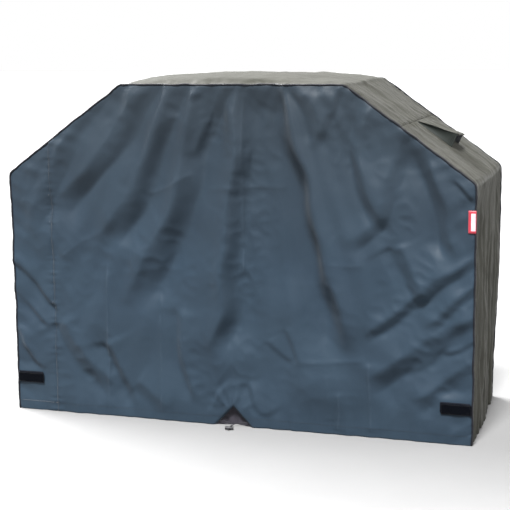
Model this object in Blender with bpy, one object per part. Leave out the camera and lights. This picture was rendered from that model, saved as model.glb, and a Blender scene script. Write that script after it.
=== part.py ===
"""Grill cover: a sewn fabric cover with sloping shoulders, standing on its hem.

Metres, +Z up, origin on the ground at the middle of the cover. The front faces -Y.
side = +1 is the right-hand side (+X) seen from the front, side = -1 the left-hand side.
"""

import math

import bmesh
import bpy
from mathutils import Matrix, Vector

# Driving dimensions
WIDTH = 1.63
DEPTH = 0.61
CROWN_Z = 1.16  # height of the straight front and back edges of the top
SHOULDER_Z = 0.852
TOP_WIDTH = 0.776
DOME = 0.028  # rise of the top between its edges
CLOTH = 0.001
GAP = 0.0003  # between touching pieces

# Sewing
TOP_CORNER_R = 0.025
SHOULDER_CORNER_R = 0.030
PIPING_R = 0.003
JOINING_STRIP = 0.154  # width of the narrow part of the front and back
CROSS_SEAM_S = 0.226  # from the top corner, down the shoulder
TAPE_WIDTH = 0.020
HEM_HEIGHT = 0.028
HEM_THICK = 0.0055
HEM_END = 0.8  # half length of the front and back tunnels
HEM_SIDE_END = 0.285
NOTCH_WIDTH = 0.119
NOTCH_HEIGHT = 0.063
NOTCH_TUNNEL_END = 0.046

# Vents
VENT_Y = 0.035
VENT_WIDTH = 0.145
HOOD_LENGTH = 0.1465
HOOD_OPEN = math.radians(18.8)
HOOD_LIFT = 0.0018
STAY_R = 0.0016
LIP_INNER_R = 0.002
WINDOW_START = 0.250
WINDOW_END = 0.345
WINDOW_WIDTH = 0.110
MESH_LAP = 0.008

# Drawcord and its lock
CORD_R = 0.00125
CORD_Z = 0.014
LOCK_Y = -0.350
LOCK_Z = 0.0063
BARREL_R = 0.006
BARREL_START = -0.0135
BARREL_END = 0.0085
BORE_R = 0.0041
BORE_START = -0.0120
BUTTON_R = 0.0038
BUTTON_HEAD_R = 0.0052
SPRING_R = 0.0029
SPRING_WIRE_R = 0.00025
SPRING_TURNS = 3
CORD_SPACING = 0.00155  # each cord end's distance from the middle of the lock

# Tabs and label
TAB_LENGTH = 0.100
TAB_HEIGHT = 0.035
TAB_Z = 0.118
TAB_THICK = 0.0014
TAB_PIVOT_X = 0.811
PATCH_SHIFT = 0.005
LABEL_WIDTH = 0.025
LABEL_HEIGHT = 0.073
LABEL_Z = 0.7305
LABEL_PIVOT_X = 0.8145

# Worked out from these
HALF_W = WIDTH / 2
HALF_D = DEPTH / 2
HALF_TOP = TOP_WIDTH / 2
SLOPE = math.atan2(CROWN_Z - SHOULDER_Z, HALF_W - HALF_TOP)
BAND_HALF_D = HALF_D - 2 * PIPING_R - GAP  # the olive strip ends at the piping
PANEL_INSET = 2 * PIPING_R + GAP  # so do the flat front and back
SEAM_X = HALF_W - JOINING_STRIP
PANEL_INNER_Y = HALF_D - CLOTH


def clear_scene():
    for obj in list(bpy.data.objects):
        bpy.data.objects.remove(obj)


def make_material(name, colour, roughness, metallic=0.0):
    material = bpy.data.materials.new(name)
    material.use_nodes = True
    shader = material.node_tree.nodes["Principled BSDF"]
    shader.inputs["Base Color"].default_value = (*colour, 1.0)
    shader.inputs["Roughness"].default_value = roughness
    shader.inputs["Metallic"].default_value = metallic
    material.diffuse_color = (*colour, 1.0)
    return material


def link(name, data, material, location=(0, 0, 0), parent=None):
    """A new object with its own copy of the material, at a world location."""
    obj = bpy.data.objects.new(name, data)
    data.materials.append(material.copy())
    bpy.context.scene.collection.objects.link(obj)
    if parent:
        obj.parent = parent
        obj.location = Vector(location) - parent.location
    else:
        obj.location = location
    return obj


def finish_mesh(name, bm, material, location=(0, 0, 0), parent=None, smooth=False):
    """The bmesh, given in world coordinates, as an object whose origin is at location."""
    bmesh.ops.recalc_face_normals(bm, faces=bm.faces)
    bmesh.ops.translate(bm, vec=-Vector(location), verts=bm.verts)
    mesh = bpy.data.meshes.new(name)
    bm.to_mesh(mesh)
    bm.free()
    if smooth:
        mesh.shade_smooth()
        mesh.set_sharp_from_angle(angle=math.radians(40))
    return link(name, mesh, material, location, parent)


def prism(name, points, vector, material, location=(0, 0, 0), parent=None):
    """A flat outline in space, made solid along a vector."""
    bm = bmesh.new()
    face = bm.faces.new([bm.verts.new(p) for p in points])
    moved = bmesh.ops.extrude_face_region(bm, geom=[face])["geom"]
    verts = [v for v in moved if isinstance(v, bmesh.types.BMVert)]
    bmesh.ops.translate(bm, vec=Vector(vector), verts=verts)
    return finish_mesh(name, bm, material, location, parent)


def box(name, low, high, material, location=(0, 0, 0), parent=None):
    corners = [(low[0], low[1]), (high[0], low[1]), (high[0], high[1]), (low[0], high[1])]
    points = [(x, y, low[2]) for x, y in corners]
    return prism(name, points, (0, 0, high[2] - low[2]), material, location, parent)


def lathe(name, profile, centre, axis, material, parent=None, steps=24):
    """A closed profile of (distance along the axis, radius) turned about the axis."""
    turn = Vector((0, 0, 1)).rotation_difference(Vector(axis)).to_matrix()
    bm = bmesh.new()
    rings = []
    for along, radius in profile:
        ring = []
        for i in range(steps):
            angle = 2 * math.pi * i / steps
            point = Vector((radius * math.cos(angle), radius * math.sin(angle), along))
            ring.append(bm.verts.new(Vector(centre) + turn @ point))
        rings.append(ring)
    for first, second in zip(rings, rings[1:]):
        for i in range(steps):
            j = (i + 1) % steps
            bm.faces.new((first[i], first[j], second[j], second[i]))
    bm.faces.new(rings[0])
    bm.faces.new(rings[-1])
    return finish_mesh(name, bm, material, centre, parent, smooth=True)


def cut(obj, cutter):
    cutter.hide_render = True
    cutter.display_type = "WIRE"
    modifier = obj.modifiers.new("cut", "BOOLEAN")
    modifier.operation = "DIFFERENCE"
    modifier.solver = "EXACT"
    modifier.object = cutter


def tube(name, points, radius, material, resolution=2, cyclic=False):
    curve = bpy.data.curves.new(name, "CURVE")
    curve.dimensions = "3D"
    curve.bevel_depth = radius
    curve.bevel_resolution = resolution
    curve.use_fill_caps = True
    spline = curve.splines.new("POLY")
    spline.points.add(len(points) - 1)
    for place, point in zip(spline.points, points):
        place.co = (*point, 1.0)
    spline.use_cyclic_u = cyclic
    return link(name, curve, material)


def smooth_route(points, spacing):
    """Points read at even spacing from a smooth curve through the route's points."""
    ends = [2 * points[0] - points[1], *points, 2 * points[-1] - points[-2]]
    fine = []
    for a, b, c, d in zip(ends, ends[1:], ends[2:], ends[3:]):
        for step in range(20):
            t = step / 20
            fine.append(
                0.5 * (2 * b + (c - a) * t + (2 * a - 5 * b + 4 * c - d) * t**2
                       + (3 * b - 3 * c + d - a) * t**3)
            )
    fine.append(points[-1])
    length = sum((q - p).length for p, q in zip(fine, fine[1:]))
    count = max(2, round(length / spacing))
    route = [fine[0]]
    travelled = 0.0
    for p, q in zip(fine, fine[1:]):
        step = (q - p).length
        while len(route) < count and travelled + step >= len(route) * length / count:
            share = (len(route) * length / count - travelled) / step
            route.append(p.lerp(q, share))
        travelled += step
    return [*route, fine[-1]]


# The cover's outline, seen from the front, as (x, z)


def corner_arc(x, z, radius, start, end, steps=6):
    """An arc round (x, z); angles are of its outward normal, from +X towards +Z."""
    angles = [start + (end - start) * i / steps for i in range(steps + 1)]
    return [(x + radius * math.cos(a), z + radius * math.sin(a)) for a in angles]


def rounded_corner(x, z, radius, normal_a, normal_b, inset):
    """The outline's corner (x, z), rounded, with the whole outline moved inwards by inset."""
    half = (normal_b - normal_a) / 2
    middle = normal_a + half
    back = radius / math.cos(half)
    centre_x = x - back * math.cos(middle)
    centre_z = z - back * math.sin(middle)
    return corner_arc(centre_x, centre_z, radius - inset, normal_a, normal_b)


def right_outline(inset=0.0):
    """The rounded shoulder corner and then the top corner of the right-hand side."""
    normal = math.pi / 2 - SLOPE
    low = rounded_corner(HALF_W, SHOULDER_Z, SHOULDER_CORNER_R, 0.0, normal, inset)
    high = rounded_corner(HALF_TOP, CROWN_Z, TOP_CORNER_R, normal, math.pi / 2, inset)
    return low, high


def full_outline(inset=0.0, bottom=0.0):
    """From the right-hand foot over the top to the left-hand foot."""
    low, high = right_outline(inset)
    right = [(HALF_W - inset, bottom), *low, *high]
    return right + [(-x, z) for x, z in reversed(right)]


def shoulder_point(side, s, y, h=0.0):
    """A point s down the shoulder from the top corner, and h out from its face."""
    x = HALF_TOP + s * math.cos(SLOPE) + h * math.sin(SLOPE)
    z = CROWN_Z - s * math.sin(SLOPE) + h * math.cos(SLOPE)
    return Vector((side * x, y, z))


def side_name(side):
    return "right" if side > 0 else "left"


# Front and back


def notch_points():
    half = NOTCH_WIDTH / 2
    return [(-half, 0.0), (0.0, NOTCH_HEIGHT), (half, 0.0)]


def flat_panel(name, outline, facing, material):
    """A flat sheet whose outer face is at the front (facing -1) or the back (facing +1)."""
    points = [(x, facing * HALF_D, z) for x, z in outline]
    return prism(name, points, (0, -facing * CLOTH, 0), material)


def outline_parts(facing):
    """The main panel's and the joining strip's outlines, split at the joining seam."""
    points = full_outline(PANEL_INSET)
    edge = facing * SEAM_X
    seam_top = CROWN_Z - (SEAM_X - HALF_TOP) * math.tan(SLOPE) - PANEL_INSET / math.cos(SLOPE)
    drop = GAP * math.tan(SLOPE)
    main = [(x, z) for x, z in points if x * facing < SEAM_X]
    strip = [(x, z) for x, z in points if x * facing > SEAM_X]
    main_edge = [(edge, 0.0), (edge, seam_top)]
    strip_edge = [(edge + facing * GAP, seam_top - drop), (edge + facing * GAP, 0.0)]
    if facing > 0:
        return main_edge + main, strip + strip_edge
    return main + main_edge[::-1], strip_edge[::-1] + strip


def make_front_and_back(blue):
    for facing, word in ((-1, "front"), (1, "back")):
        main, strip = outline_parts(facing)
        if facing < 0:
            main = main + notch_points()
        flat_panel(word + "_main_panel", main, facing, blue)
        flat_panel(word + "_joining_strip", strip, facing, blue)


def make_seam_tapes(tape):
    bottom = HEM_HEIGHT + 0.008
    top = CROWN_Z - (SEAM_X - HALF_TOP) * math.tan(SLOPE) - 0.030
    for facing, word in ((-1, "front"), (1, "back")):
        x = facing * SEAM_X
        near = facing * (PANEL_INNER_Y - GAP)
        far = near - facing * CLOTH
        low = (x - TAPE_WIDTH / 2, min(near, far), bottom)
        high = (x + TAPE_WIDTH / 2, max(near, far), top)
        box(word + "_seam_tape", low, high, tape)


def make_piping(dark):
    for facing, word in ((-1, "front"), (1, "back")):
        y = facing * (HALF_D - PIPING_R)
        points = [Vector((x, y, z)) for x, z in full_outline(PIPING_R, bottom=0.002)]
        tube(word + "_piping", points, PIPING_R, dark)


# The olive strip over the top, shoulders and sides


def dome_rise(x, y):
    across = max(0.0, 1.0 - abs(x / (HALF_TOP + 0.012)) ** 3)
    deep = max(0.0, 1.0 - abs(y / BAND_HALF_D) ** 6)
    return DOME * across * deep


def sheet_over(name, profile, rows, material):
    """A sheet over a profile of (x, z), with the top's dome, made thick inwards."""
    bm = bmesh.new()
    grid = []
    for x, z in profile:
        line = []
        for row in range(rows + 1):
            y = BAND_HALF_D * (2 * row / rows - 1)
            rise = dome_rise(x, y) if z > CROWN_Z - 0.004 else 0.0
            line.append(bm.verts.new((x, y, z + rise)))
        grid.append(line)
    for first, second in zip(grid, grid[1:]):
        for i in range(rows):
            bm.faces.new((first[i], second[i], second[i + 1], first[i + 1]))
    bm.normal_update()
    middle = bm.faces[:][len(bm.faces) // 2]
    if middle.normal.dot(Vector((middle.calc_center_median().x, 0, 1))) < 0:
        bmesh.ops.reverse_faces(bm, faces=bm.faces)
    mesh = bpy.data.meshes.new(name)
    bm.to_mesh(mesh)
    bm.free()
    mesh.shade_smooth()
    obj = link(name, mesh, material)
    thicken = obj.modifiers.new("cloth", "SOLIDIFY")
    thicken.thickness = CLOTH
    thicken.offset = -1.0
    thicken.use_even_offset = True
    return obj


def make_crown(olive):
    _, high = right_outline()
    seam = shoulder_point(1, CROSS_SEAM_S, 0)
    right = [(seam.x, seam.z), *high]
    steps = 12
    inner_x = high[-1][0]
    top = [(inner_x * (1 - 2 * i / steps), CROWN_Z) for i in range(1, steps)]
    left = [(-x, z) for x, z in reversed(right)]
    sheet_over("crown_panel", right + top + left, 12, olive)


def side_profile(side):
    low, _ = right_outline()
    seam = shoulder_point(1, CROSS_SEAM_S + GAP, 0)
    points = [(seam.x, seam.z), *reversed(low), (HALF_W, 0.0)]
    return [(side * x, z) for x, z in points]


def make_side_panel(side, olive):
    panel = sheet_over(side_name(side) + "_side_panel", side_profile(side), 1, olive)
    half = WINDOW_WIDTH / 2
    corners = [
        shoulder_point(side, WINDOW_START, VENT_Y - half, 0.01),
        shoulder_point(side, WINDOW_END, VENT_Y - half, 0.01),
        shoulder_point(side, WINDOW_END, VENT_Y + half, 0.01),
        shoulder_point(side, WINDOW_START, VENT_Y + half, 0.01),
    ]
    down = shoulder_point(side, 0, 0, -0.02) - shoulder_point(side, 0, 0)
    cut(panel, prism(side_name(side) + "_window_cutter", corners, down, olive))


def make_cross_seam_tape(side, tape):
    half = TAPE_WIDTH / 2
    outer = -CLOTH - GAP
    y = -BAND_HALF_D + 0.008
    points = [
        shoulder_point(side, CROSS_SEAM_S - half, y, outer),
        shoulder_point(side, CROSS_SEAM_S + half, y, outer),
        shoulder_point(side, CROSS_SEAM_S + half, y, outer - CLOTH),
        shoulder_point(side, CROSS_SEAM_S - half, y, outer - CLOTH),
    ]
    prism(side_name(side) + "_cross_seam_tape", points, (0, -2 * y, 0), tape)


# Vents


def hinge_point(side, y=0.0):
    return shoulder_point(side, CROSS_SEAM_S + 0.003, y, HOOD_LIFT)


def hood_point(side, u, v, y):
    """A point u along the open hood from its hinge line, and v out from its top face."""
    s = CROSS_SEAM_S + 0.003 + u * math.cos(HOOD_OPEN) - v * math.sin(HOOD_OPEN)
    h = HOOD_LIFT + u * math.sin(HOOD_OPEN) + v * math.cos(HOOD_OPEN)
    return shoulder_point(side, s, y, h)


def hood_profile():
    """The hood's section: a sheet that ends in a loop round the stay."""
    outer_r = LIP_INNER_R + CLOTH
    centre_u = HOOD_LENGTH - outer_r
    top = CLOTH / 2
    centre_v = top - outer_r
    sweep = [math.radians(90 - 24 * i) for i in range(11)]
    points = [(0.0, top)]
    points += [(centre_u + outer_r * math.cos(a), centre_v + outer_r * math.sin(a)) for a in sweep]
    points += [
        (centre_u + LIP_INNER_R * math.cos(a), centre_v + LIP_INNER_R * math.sin(a))
        for a in reversed(sweep)
    ]
    points.append((0.0, -top))
    return points, (centre_u, centre_v)


def make_hood(side, olive, plastic):
    name = side_name(side)
    near = VENT_Y - VENT_WIDTH / 2
    profile, (stay_u, stay_v) = hood_profile()
    pivot = bpy.data.objects.new(name + "_vent_pivot", None)
    pivot.location = hinge_point(side, VENT_Y)
    bpy.context.scene.collection.objects.link(pivot)
    points = [hood_point(side, u, v, near) for u, v in profile]
    prism(name + "_vent_hood", points, (0, VENT_WIDTH, 0), olive, pivot.location, pivot)
    length = VENT_WIDTH - 0.004
    start = hood_point(side, stay_u, stay_v, near + 0.002)
    rod = [(0.0, STAY_R), (length, STAY_R)]
    lathe(name + "_hood_stay", rod, start, (0, 1, 0), plastic, pivot, steps=12)


def make_gussets(side, olive):
    """The triangular cheeks that join the hood's sides to the shoulder."""
    width = 0.0008
    for facing, word in ((-1, "front"), (1, "back")):
        y = VENT_Y + facing * (VENT_WIDTH / 2 - 0.001) - width / 2
        under = -CLOTH / 2 - GAP
        points = [
            shoulder_point(side, CROSS_SEAM_S + 0.010, y, 0.0005),
            hood_point(side, 0.010, under, y),
            hood_point(side, HOOD_LENGTH - 0.0072, under, y),
            shoulder_point(side, CROSS_SEAM_S + 0.149, y, 0.0005),
        ]
        prism(f"{side_name(side)}_vent_gusset_{word}", points, (0, width, 0), olive)


def make_vent_mesh(side, dark):
    half = WINDOW_WIDTH / 2 + MESH_LAP
    outer = -CLOTH - GAP
    start, end = WINDOW_START - MESH_LAP, WINDOW_END + MESH_LAP
    points = [
        shoulder_point(side, start, VENT_Y - half, outer),
        shoulder_point(side, end, VENT_Y - half, outer),
        shoulder_point(side, end, VENT_Y - half, outer - CLOTH),
        shoulder_point(side, start, VENT_Y - half, outer - CLOTH),
    ]
    prism(side_name(side) + "_vent_mesh", points, (0, 2 * half, 0), dark)


# Hem, drawcord and cord lock


def tunnel_section():
    """(distance inwards from the panel's inner face, z) of a hem tunnel, open to the panel."""
    wall = 0.0008
    near, far = GAP, HEM_THICK
    return [
        (near, 0.0),
        (far, 0.0),
        (far, HEM_HEIGHT),
        (near, HEM_HEIGHT + 0.003),
        (near, HEM_HEIGHT + 0.003 - wall),
        (far - wall, HEM_HEIGHT - wall),
        (far - wall, wall),
        (near, wall),
    ]


def make_front_or_back_tunnel(name, facing, start, end, fabric):
    points = [(start, facing * (PANEL_INNER_Y - d), z) for d, z in tunnel_section()]
    prism(name, points, (end - start, 0, 0), fabric)


def make_side_tunnel(side, fabric):
    inner = HALF_W - CLOTH
    points = [(side * (inner - d), -HEM_SIDE_END, z) for d, z in tunnel_section()]
    prism(side_name(side) + "_hem_tunnel", points, (0, 2 * HEM_SIDE_END, 0), fabric)


def make_notch_gusset(lining):
    """A pleat behind the notch: its edges lie behind the tunnels, its middle is pushed in."""
    half = NOTCH_WIDTH / 2 + 0.004
    edge_y = -PANEL_INNER_Y + HEM_THICK + GAP
    valley_y = edge_y + 0.012
    top = NOTCH_HEIGHT + 0.012
    front = [
        Vector((-half, edge_y, 0.0)),
        Vector((0.0, valley_y, 0.0)),
        Vector((half, edge_y, 0.0)),
        Vector((0.0, edge_y, top)),
    ]
    bm = bmesh.new()
    verts = [[bm.verts.new(p + Vector((0, d, 0))) for p in front] for d in (0.0, CLOTH)]
    for i, j, k in ((0, 1, 3), (1, 2, 3)):
        bm.faces.new((verts[0][i], verts[0][j], verts[0][k]))
        bm.faces.new((verts[1][k], verts[1][j], verts[1][i]))
    for i, j in ((0, 1), (1, 2), (2, 3), (3, 0)):
        bm.faces.new((verts[0][i], verts[1][i], verts[1][j], verts[0][j]))
    finish_mesh("notch_gusset", bm, lining)


def make_drawcord(dark):
    """Inside the tunnels, from one side of the notch all the way round to the other."""
    y = PANEL_INNER_Y - 0.0025
    x = HALF_W - CLOTH - 0.0025
    bend = 0.010
    right = [(NOTCH_TUNNEL_END + 0.002, -y)]
    right += corner_arc(x - bend, -y + bend, bend, -math.pi / 2, 0.0)
    right += corner_arc(x - bend, y - bend, bend, 0.0, math.pi / 2)
    points = right + [(-px, py) for px, py in reversed(right)]
    tube("drawcord", [Vector((px, py, CORD_Z)) for px, py in points], CORD_R, dark)


def cord_end_route(side):
    """From the tunnel's end, round in front of the notch, and forwards through the lock."""
    y = -PANEL_INNER_Y + 0.0025
    points = [
        (NOTCH_TUNNEL_END + 0.0017, y, CORD_Z),
        (0.0380, y - 0.0002, 0.0137),
        (0.0260, y - 0.0003, 0.0122),
        (0.0150, y - 0.0005, 0.0100),
        (0.0075, y - 0.0030, 0.0081),
        (0.0030, y - 0.0080, 0.0069),
        (CORD_SPACING, y - 0.0150, 0.0064),
        (CORD_SPACING, y - 0.0250, LOCK_Z),
        (CORD_SPACING, y - 0.0350, LOCK_Z),
        (CORD_SPACING, y - 0.0450, LOCK_Z),
        (CORD_SPACING, LOCK_Y - BARREL_R - 0.0012, LOCK_Z),
    ]
    return [Vector((side * px, py, pz)) for px, py, pz in points]


def make_cord_ends(dark):
    for side in (-1, 1):
        route = smooth_route(cord_end_route(side), 2.2 * CORD_R)
        tube(side_name(side) + "_drawcord_end", route, CORD_R, dark)
    start = LOCK_Y - BARREL_R - 0.0012 - GAP
    knot = [(0.0, 0.0024), (0.0012, 0.0036), (0.0030, 0.0040), (0.0048, 0.0034), (0.0060, 0.0018)]
    lathe("cord_end_knot", knot, (0, start, LOCK_Z), (0, -1, 0), dark, steps=16)


def lock_empty():
    lock = bpy.data.objects.new("cord_lock_slide", None)
    lock.location = (0, LOCK_Y, LOCK_Z)
    bpy.context.scene.collection.objects.link(lock)
    return lock


def slot_cutter(name, start, end, plastic, parent):
    half_height = 0.0017
    low = (start, LOCK_Y - 2 * BARREL_R, LOCK_Z - half_height)
    high = (end, LOCK_Y + 2 * BARREL_R, LOCK_Z + half_height)
    return box(name, low, high, plastic, (0, LOCK_Y, LOCK_Z), parent)


def make_barrel(lock, plastic):
    centre = (0, LOCK_Y, LOCK_Z)
    round_off = 0.0012
    outside = [
        (BARREL_START, BARREL_R - round_off),
        (BARREL_START + round_off / 3, BARREL_R - round_off / 3),
        (BARREL_START + round_off, BARREL_R),
        (BARREL_END - 0.0006, BARREL_R),
        (BARREL_END, BARREL_R - 0.0006),
    ]
    barrel = lathe("cord_lock_barrel", outside, centre, (1, 0, 0), plastic, lock)
    bore = [(BORE_START, BORE_R), (BARREL_END + 0.002, BORE_R)]
    cut(barrel, lathe("barrel_bore_cutter", bore, centre, (1, 0, 0), plastic, lock))
    cut(barrel, slot_cutter("barrel_slot_cutter", -0.0032, 0.0032, plastic, lock))


def make_button(lock, plastic):
    centre = (0, LOCK_Y, LOCK_Z)
    profile = [
        (-0.0060, BUTTON_R - 0.0004),
        (-0.0056, BUTTON_R),
        (0.0123, BUTTON_R),
        (0.0125, BUTTON_HEAD_R - 0.0004),
        (0.0129, BUTTON_HEAD_R),
        (0.0144, BUTTON_HEAD_R),
        (0.0150, BUTTON_HEAD_R - 0.0010),
    ]
    button = lathe("cord_lock_button", profile, centre, (1, 0, 0), plastic, lock)
    cut(button, slot_cutter("button_slot_cutter", -0.0031, 0.0066, plastic, lock))


def make_spring(lock, steel):
    start, end = BORE_START + 0.0006, -0.0066
    count = 14 * SPRING_TURNS
    points = []
    for i in range(count + 1):
        angle = 2 * math.pi * SPRING_TURNS * i / count
        x = start + (end - start) * i / count
        points.append(
            Vector((x, LOCK_Y + SPRING_R * math.cos(angle), LOCK_Z + SPRING_R * math.sin(angle)))
        )
    spring = tube("cord_lock_spring", points, SPRING_WIRE_R, steel)
    spring.parent = lock
    spring.matrix_parent_inverse = Matrix.Translation(-lock.location)


# Tabs and label


def make_tab(side, black):
    name = side_name(side)
    front = -HALF_D - GAP
    outer = TAB_PIVOT_X - 0.001
    inner = outer - TAB_LENGTH
    low_z, high_z = TAB_Z - TAB_HEIGHT / 2, TAB_Z + TAB_HEIGHT / 2
    patch_x = sorted((side * (outer - 0.001) - PATCH_SHIFT / 2, side * inner - PATCH_SHIFT / 2))
    low = (patch_x[0], front - CLOTH, low_z + PATCH_SHIFT)
    high = (patch_x[1], front, high_z + PATCH_SHIFT)
    box(name + "_loop_patch", low, high, black)
    back = front - CLOTH - GAP
    tab_x = sorted((side * outer, side * inner))
    pivot = (side * TAB_PIVOT_X, back - TAB_THICK / 2, TAB_Z)
    low = (tab_x[0], back - TAB_THICK, low_z)
    high = (tab_x[1], back, high_z)
    box(name + "_hook_tab", low, high, black, pivot)


def make_label(red):
    front = -HALF_D - 2 * GAP
    low = (LABEL_PIVOT_X - LABEL_WIDTH, front - CLOTH, LABEL_Z - LABEL_HEIGHT / 2)
    high = (LABEL_PIVOT_X, front, LABEL_Z + LABEL_HEIGHT / 2)
    pivot = (LABEL_PIVOT_X, front - CLOTH / 2, LABEL_Z)
    box("side_label", low, high, red, pivot)


def main():
    clear_scene()
    blue = make_material("coated_polyester_blue", (0.070, 0.105, 0.140), 0.50)
    olive = make_material("polyester_olive", (0.150, 0.150, 0.125), 0.55)
    dark = make_material("piping_navy", (0.012, 0.014, 0.022), 0.60)
    lining = make_material("lining_dark", (0.055, 0.050, 0.058), 0.70)
    black = make_material("hook_and_loop_black", (0.003, 0.004, 0.008), 0.90)
    plastic = make_material("lock_plastic", (0.015, 0.015, 0.017), 0.40)
    steel = make_material("spring_steel", (0.55, 0.55, 0.55), 0.30, 1.0)
    red = make_material("label_red", (0.55, 0.030, 0.060), 0.60)
    make_front_and_back(blue)
    make_seam_tapes(lining)
    make_piping(dark)
    make_crown(olive)
    for side in (1, -1):
        make_side_panel(side, olive)
        make_cross_seam_tape(side, lining)
        make_hood(side, olive, plastic)
        make_gussets(side, olive)
        make_vent_mesh(side, dark)
        make_side_tunnel(side, lining)
        make_tab(side, black)
    make_front_or_back_tunnel("front_left_hem_tunnel", -1, -HEM_END, -NOTCH_TUNNEL_END, lining)
    make_front_or_back_tunnel("front_right_hem_tunnel", -1, NOTCH_TUNNEL_END, HEM_END, lining)
    make_front_or_back_tunnel("back_hem_tunnel", 1, -HEM_END, HEM_END, lining)
    make_notch_gusset(lining)
    make_drawcord(dark)
    make_cord_ends(dark)
    lock = lock_empty()
    make_barrel(lock, plastic)
    make_button(lock, plastic)
    make_spring(lock, steel)
    make_label(red)


main()
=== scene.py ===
"""Looks of the grill cover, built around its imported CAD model.

Metres, +Z up, front faces -Y. facing = -1 is the front, +1 the back; side = +1 is the right-hand side
seen from the front (+X), side = -1 the left.
"""

import math

import bmesh
import bpy
import numpy as np
from mathutils import Matrix, Vector
from mathutils.bvhtree import BVHTree


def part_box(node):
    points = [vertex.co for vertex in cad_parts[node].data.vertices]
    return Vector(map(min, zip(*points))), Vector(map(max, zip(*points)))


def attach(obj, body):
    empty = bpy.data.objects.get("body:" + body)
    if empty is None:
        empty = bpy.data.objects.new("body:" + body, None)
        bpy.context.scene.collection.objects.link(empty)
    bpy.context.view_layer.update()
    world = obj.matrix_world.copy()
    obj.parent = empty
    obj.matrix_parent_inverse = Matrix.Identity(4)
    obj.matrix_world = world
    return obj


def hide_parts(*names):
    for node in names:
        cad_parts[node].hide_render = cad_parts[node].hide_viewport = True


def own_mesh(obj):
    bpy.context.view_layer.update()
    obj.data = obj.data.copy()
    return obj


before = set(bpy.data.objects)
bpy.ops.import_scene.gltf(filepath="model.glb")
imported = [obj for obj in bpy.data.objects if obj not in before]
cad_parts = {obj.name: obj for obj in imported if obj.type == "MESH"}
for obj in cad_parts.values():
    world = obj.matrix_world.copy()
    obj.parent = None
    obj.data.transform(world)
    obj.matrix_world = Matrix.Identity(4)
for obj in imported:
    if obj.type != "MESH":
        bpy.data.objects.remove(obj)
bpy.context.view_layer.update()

# Sizes from the frame
PIPING_LOW, PIPING_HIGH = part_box("front_piping")
HALF_W = PIPING_HIGH.x
HALF_D = -PIPING_LOW.y
CROWN_Z = PIPING_HIGH.z
PIPING_R = (PIPING_HIGH.y - PIPING_LOW.y) / 2
BAND_HALF_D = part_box("crown_panel")[1].y
SEAM_X = -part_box("front_main_panel")[0].x
HEM_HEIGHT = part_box("back_hem_tunnel")[1].z
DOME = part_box("crown_panel")[1].z - CROWN_Z

# Sizes that no box gives, as in the CAD source
SHOULDER_Z = 0.852
HALF_TOP = 0.388
TOP_CORNER_R = 0.025
SHOULDER_CORNER_R = 0.030
CROSS_SEAM_S = 0.226
SLOPE = math.atan2(CROWN_Z - SHOULDER_Z, HALF_W - HALF_TOP)
MESH_LAP = 0.008
HOOD_OPEN = math.radians(18.8)
HOOD_LIFT = 0.0018
HOOD_LENGTH = 0.1465
CORD_SPACING = 0.00155

# Sizes of the visible cloth
CLOTH = 0.0007
NOTCH_HALF = 0.0635
NOTCH_HEIGHT = 0.068
TUCK = 0.0035  # the panels run this far in from the outline, under the piping
BAND_REACH = BAND_HALF_D + 0.0015  # where the band's cloth ends, under the piping
FLOOR_GAP = 0.0004


# Numbers in fields


def smooth(value):
    """0 to 1 with level ends, for a value from 0 to 1 or past them."""
    value = np.clip(value, 0.0, 1.0)
    return value * value * (3 - 2 * value)


def wave_field(seed, short, long, count=18, heading=None, spread=math.pi):
    """A smooth random field of (a, b), about 1 high, made of plane waves of those lengths."""
    rng = np.random.default_rng(seed)
    lengths = rng.uniform(short, long, count)
    middle = 0.0 if heading is None else heading
    angles = middle + rng.uniform(-spread, spread, count)
    phases = rng.uniform(0, 2 * math.pi, count)

    def field(a, b):
        total = np.zeros(np.broadcast(a, b).shape)
        for length, angle, phase in zip(lengths, angles, phases):
            total += np.sin((a * math.cos(angle) + b * math.sin(angle)) * 2 * math.pi / length + phase)
        return total * math.sqrt(2 / count)

    return field


def wave_line(seed, short, long):
    """The same along one line."""
    field = wave_field(seed, short, long, 10, 0.0, 0.0)
    return lambda t: field(t, np.zeros_like(t))


def lengths_along(path):
    """The distance from the start of a path to each of its points."""
    return np.concatenate([[0], np.cumsum(np.linalg.norm(np.diff(path, axis=0), axis=1))])


def side_name(side):
    return "right" if side > 0 else "left"


def facing_name(facing):
    return "front" if facing < 0 else "back"


def even_places(start, end, coarse, fine=None, marks=(), reach=0.02):
    """Places from start to end, coarse apart, and fine apart near the marks."""
    if fine is None:
        return np.linspace(start, end, max(2, round((end - start) / coarse) + 1))
    t = np.linspace(start, end, 4001)
    near = np.min([np.abs(t - m) for m in marks], axis=0)
    spacing = fine + (coarse - fine) * smooth(near / reach - 0.4)
    count = np.concatenate([[0], np.cumsum((t[1] - t[0]) / spacing[1:])])
    steps = max(2, round(count[-1]))
    return np.interp(np.linspace(0, count[-1], steps + 1), count, t)


def smooth_path(points, count=14):
    """A smooth curve through the points, as an array."""
    p = np.array(points, float)
    p = np.concatenate([[2 * p[0] - p[1]], p, [2 * p[-1] - p[-2]]])
    t = np.linspace(0, 1, count, endpoint=False)[:, None]
    runs = []
    for a, b, c, d in zip(p, p[1:], p[2:], p[3:]):
        runs.append(
            0.5 * (2 * b + (c - a) * t + (2 * a - 5 * b + 4 * c - d) * t**2 + (3 * b - 3 * c + d - a) * t**3)
        )
    return np.concatenate([*runs, p[-2:-1]])


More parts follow.
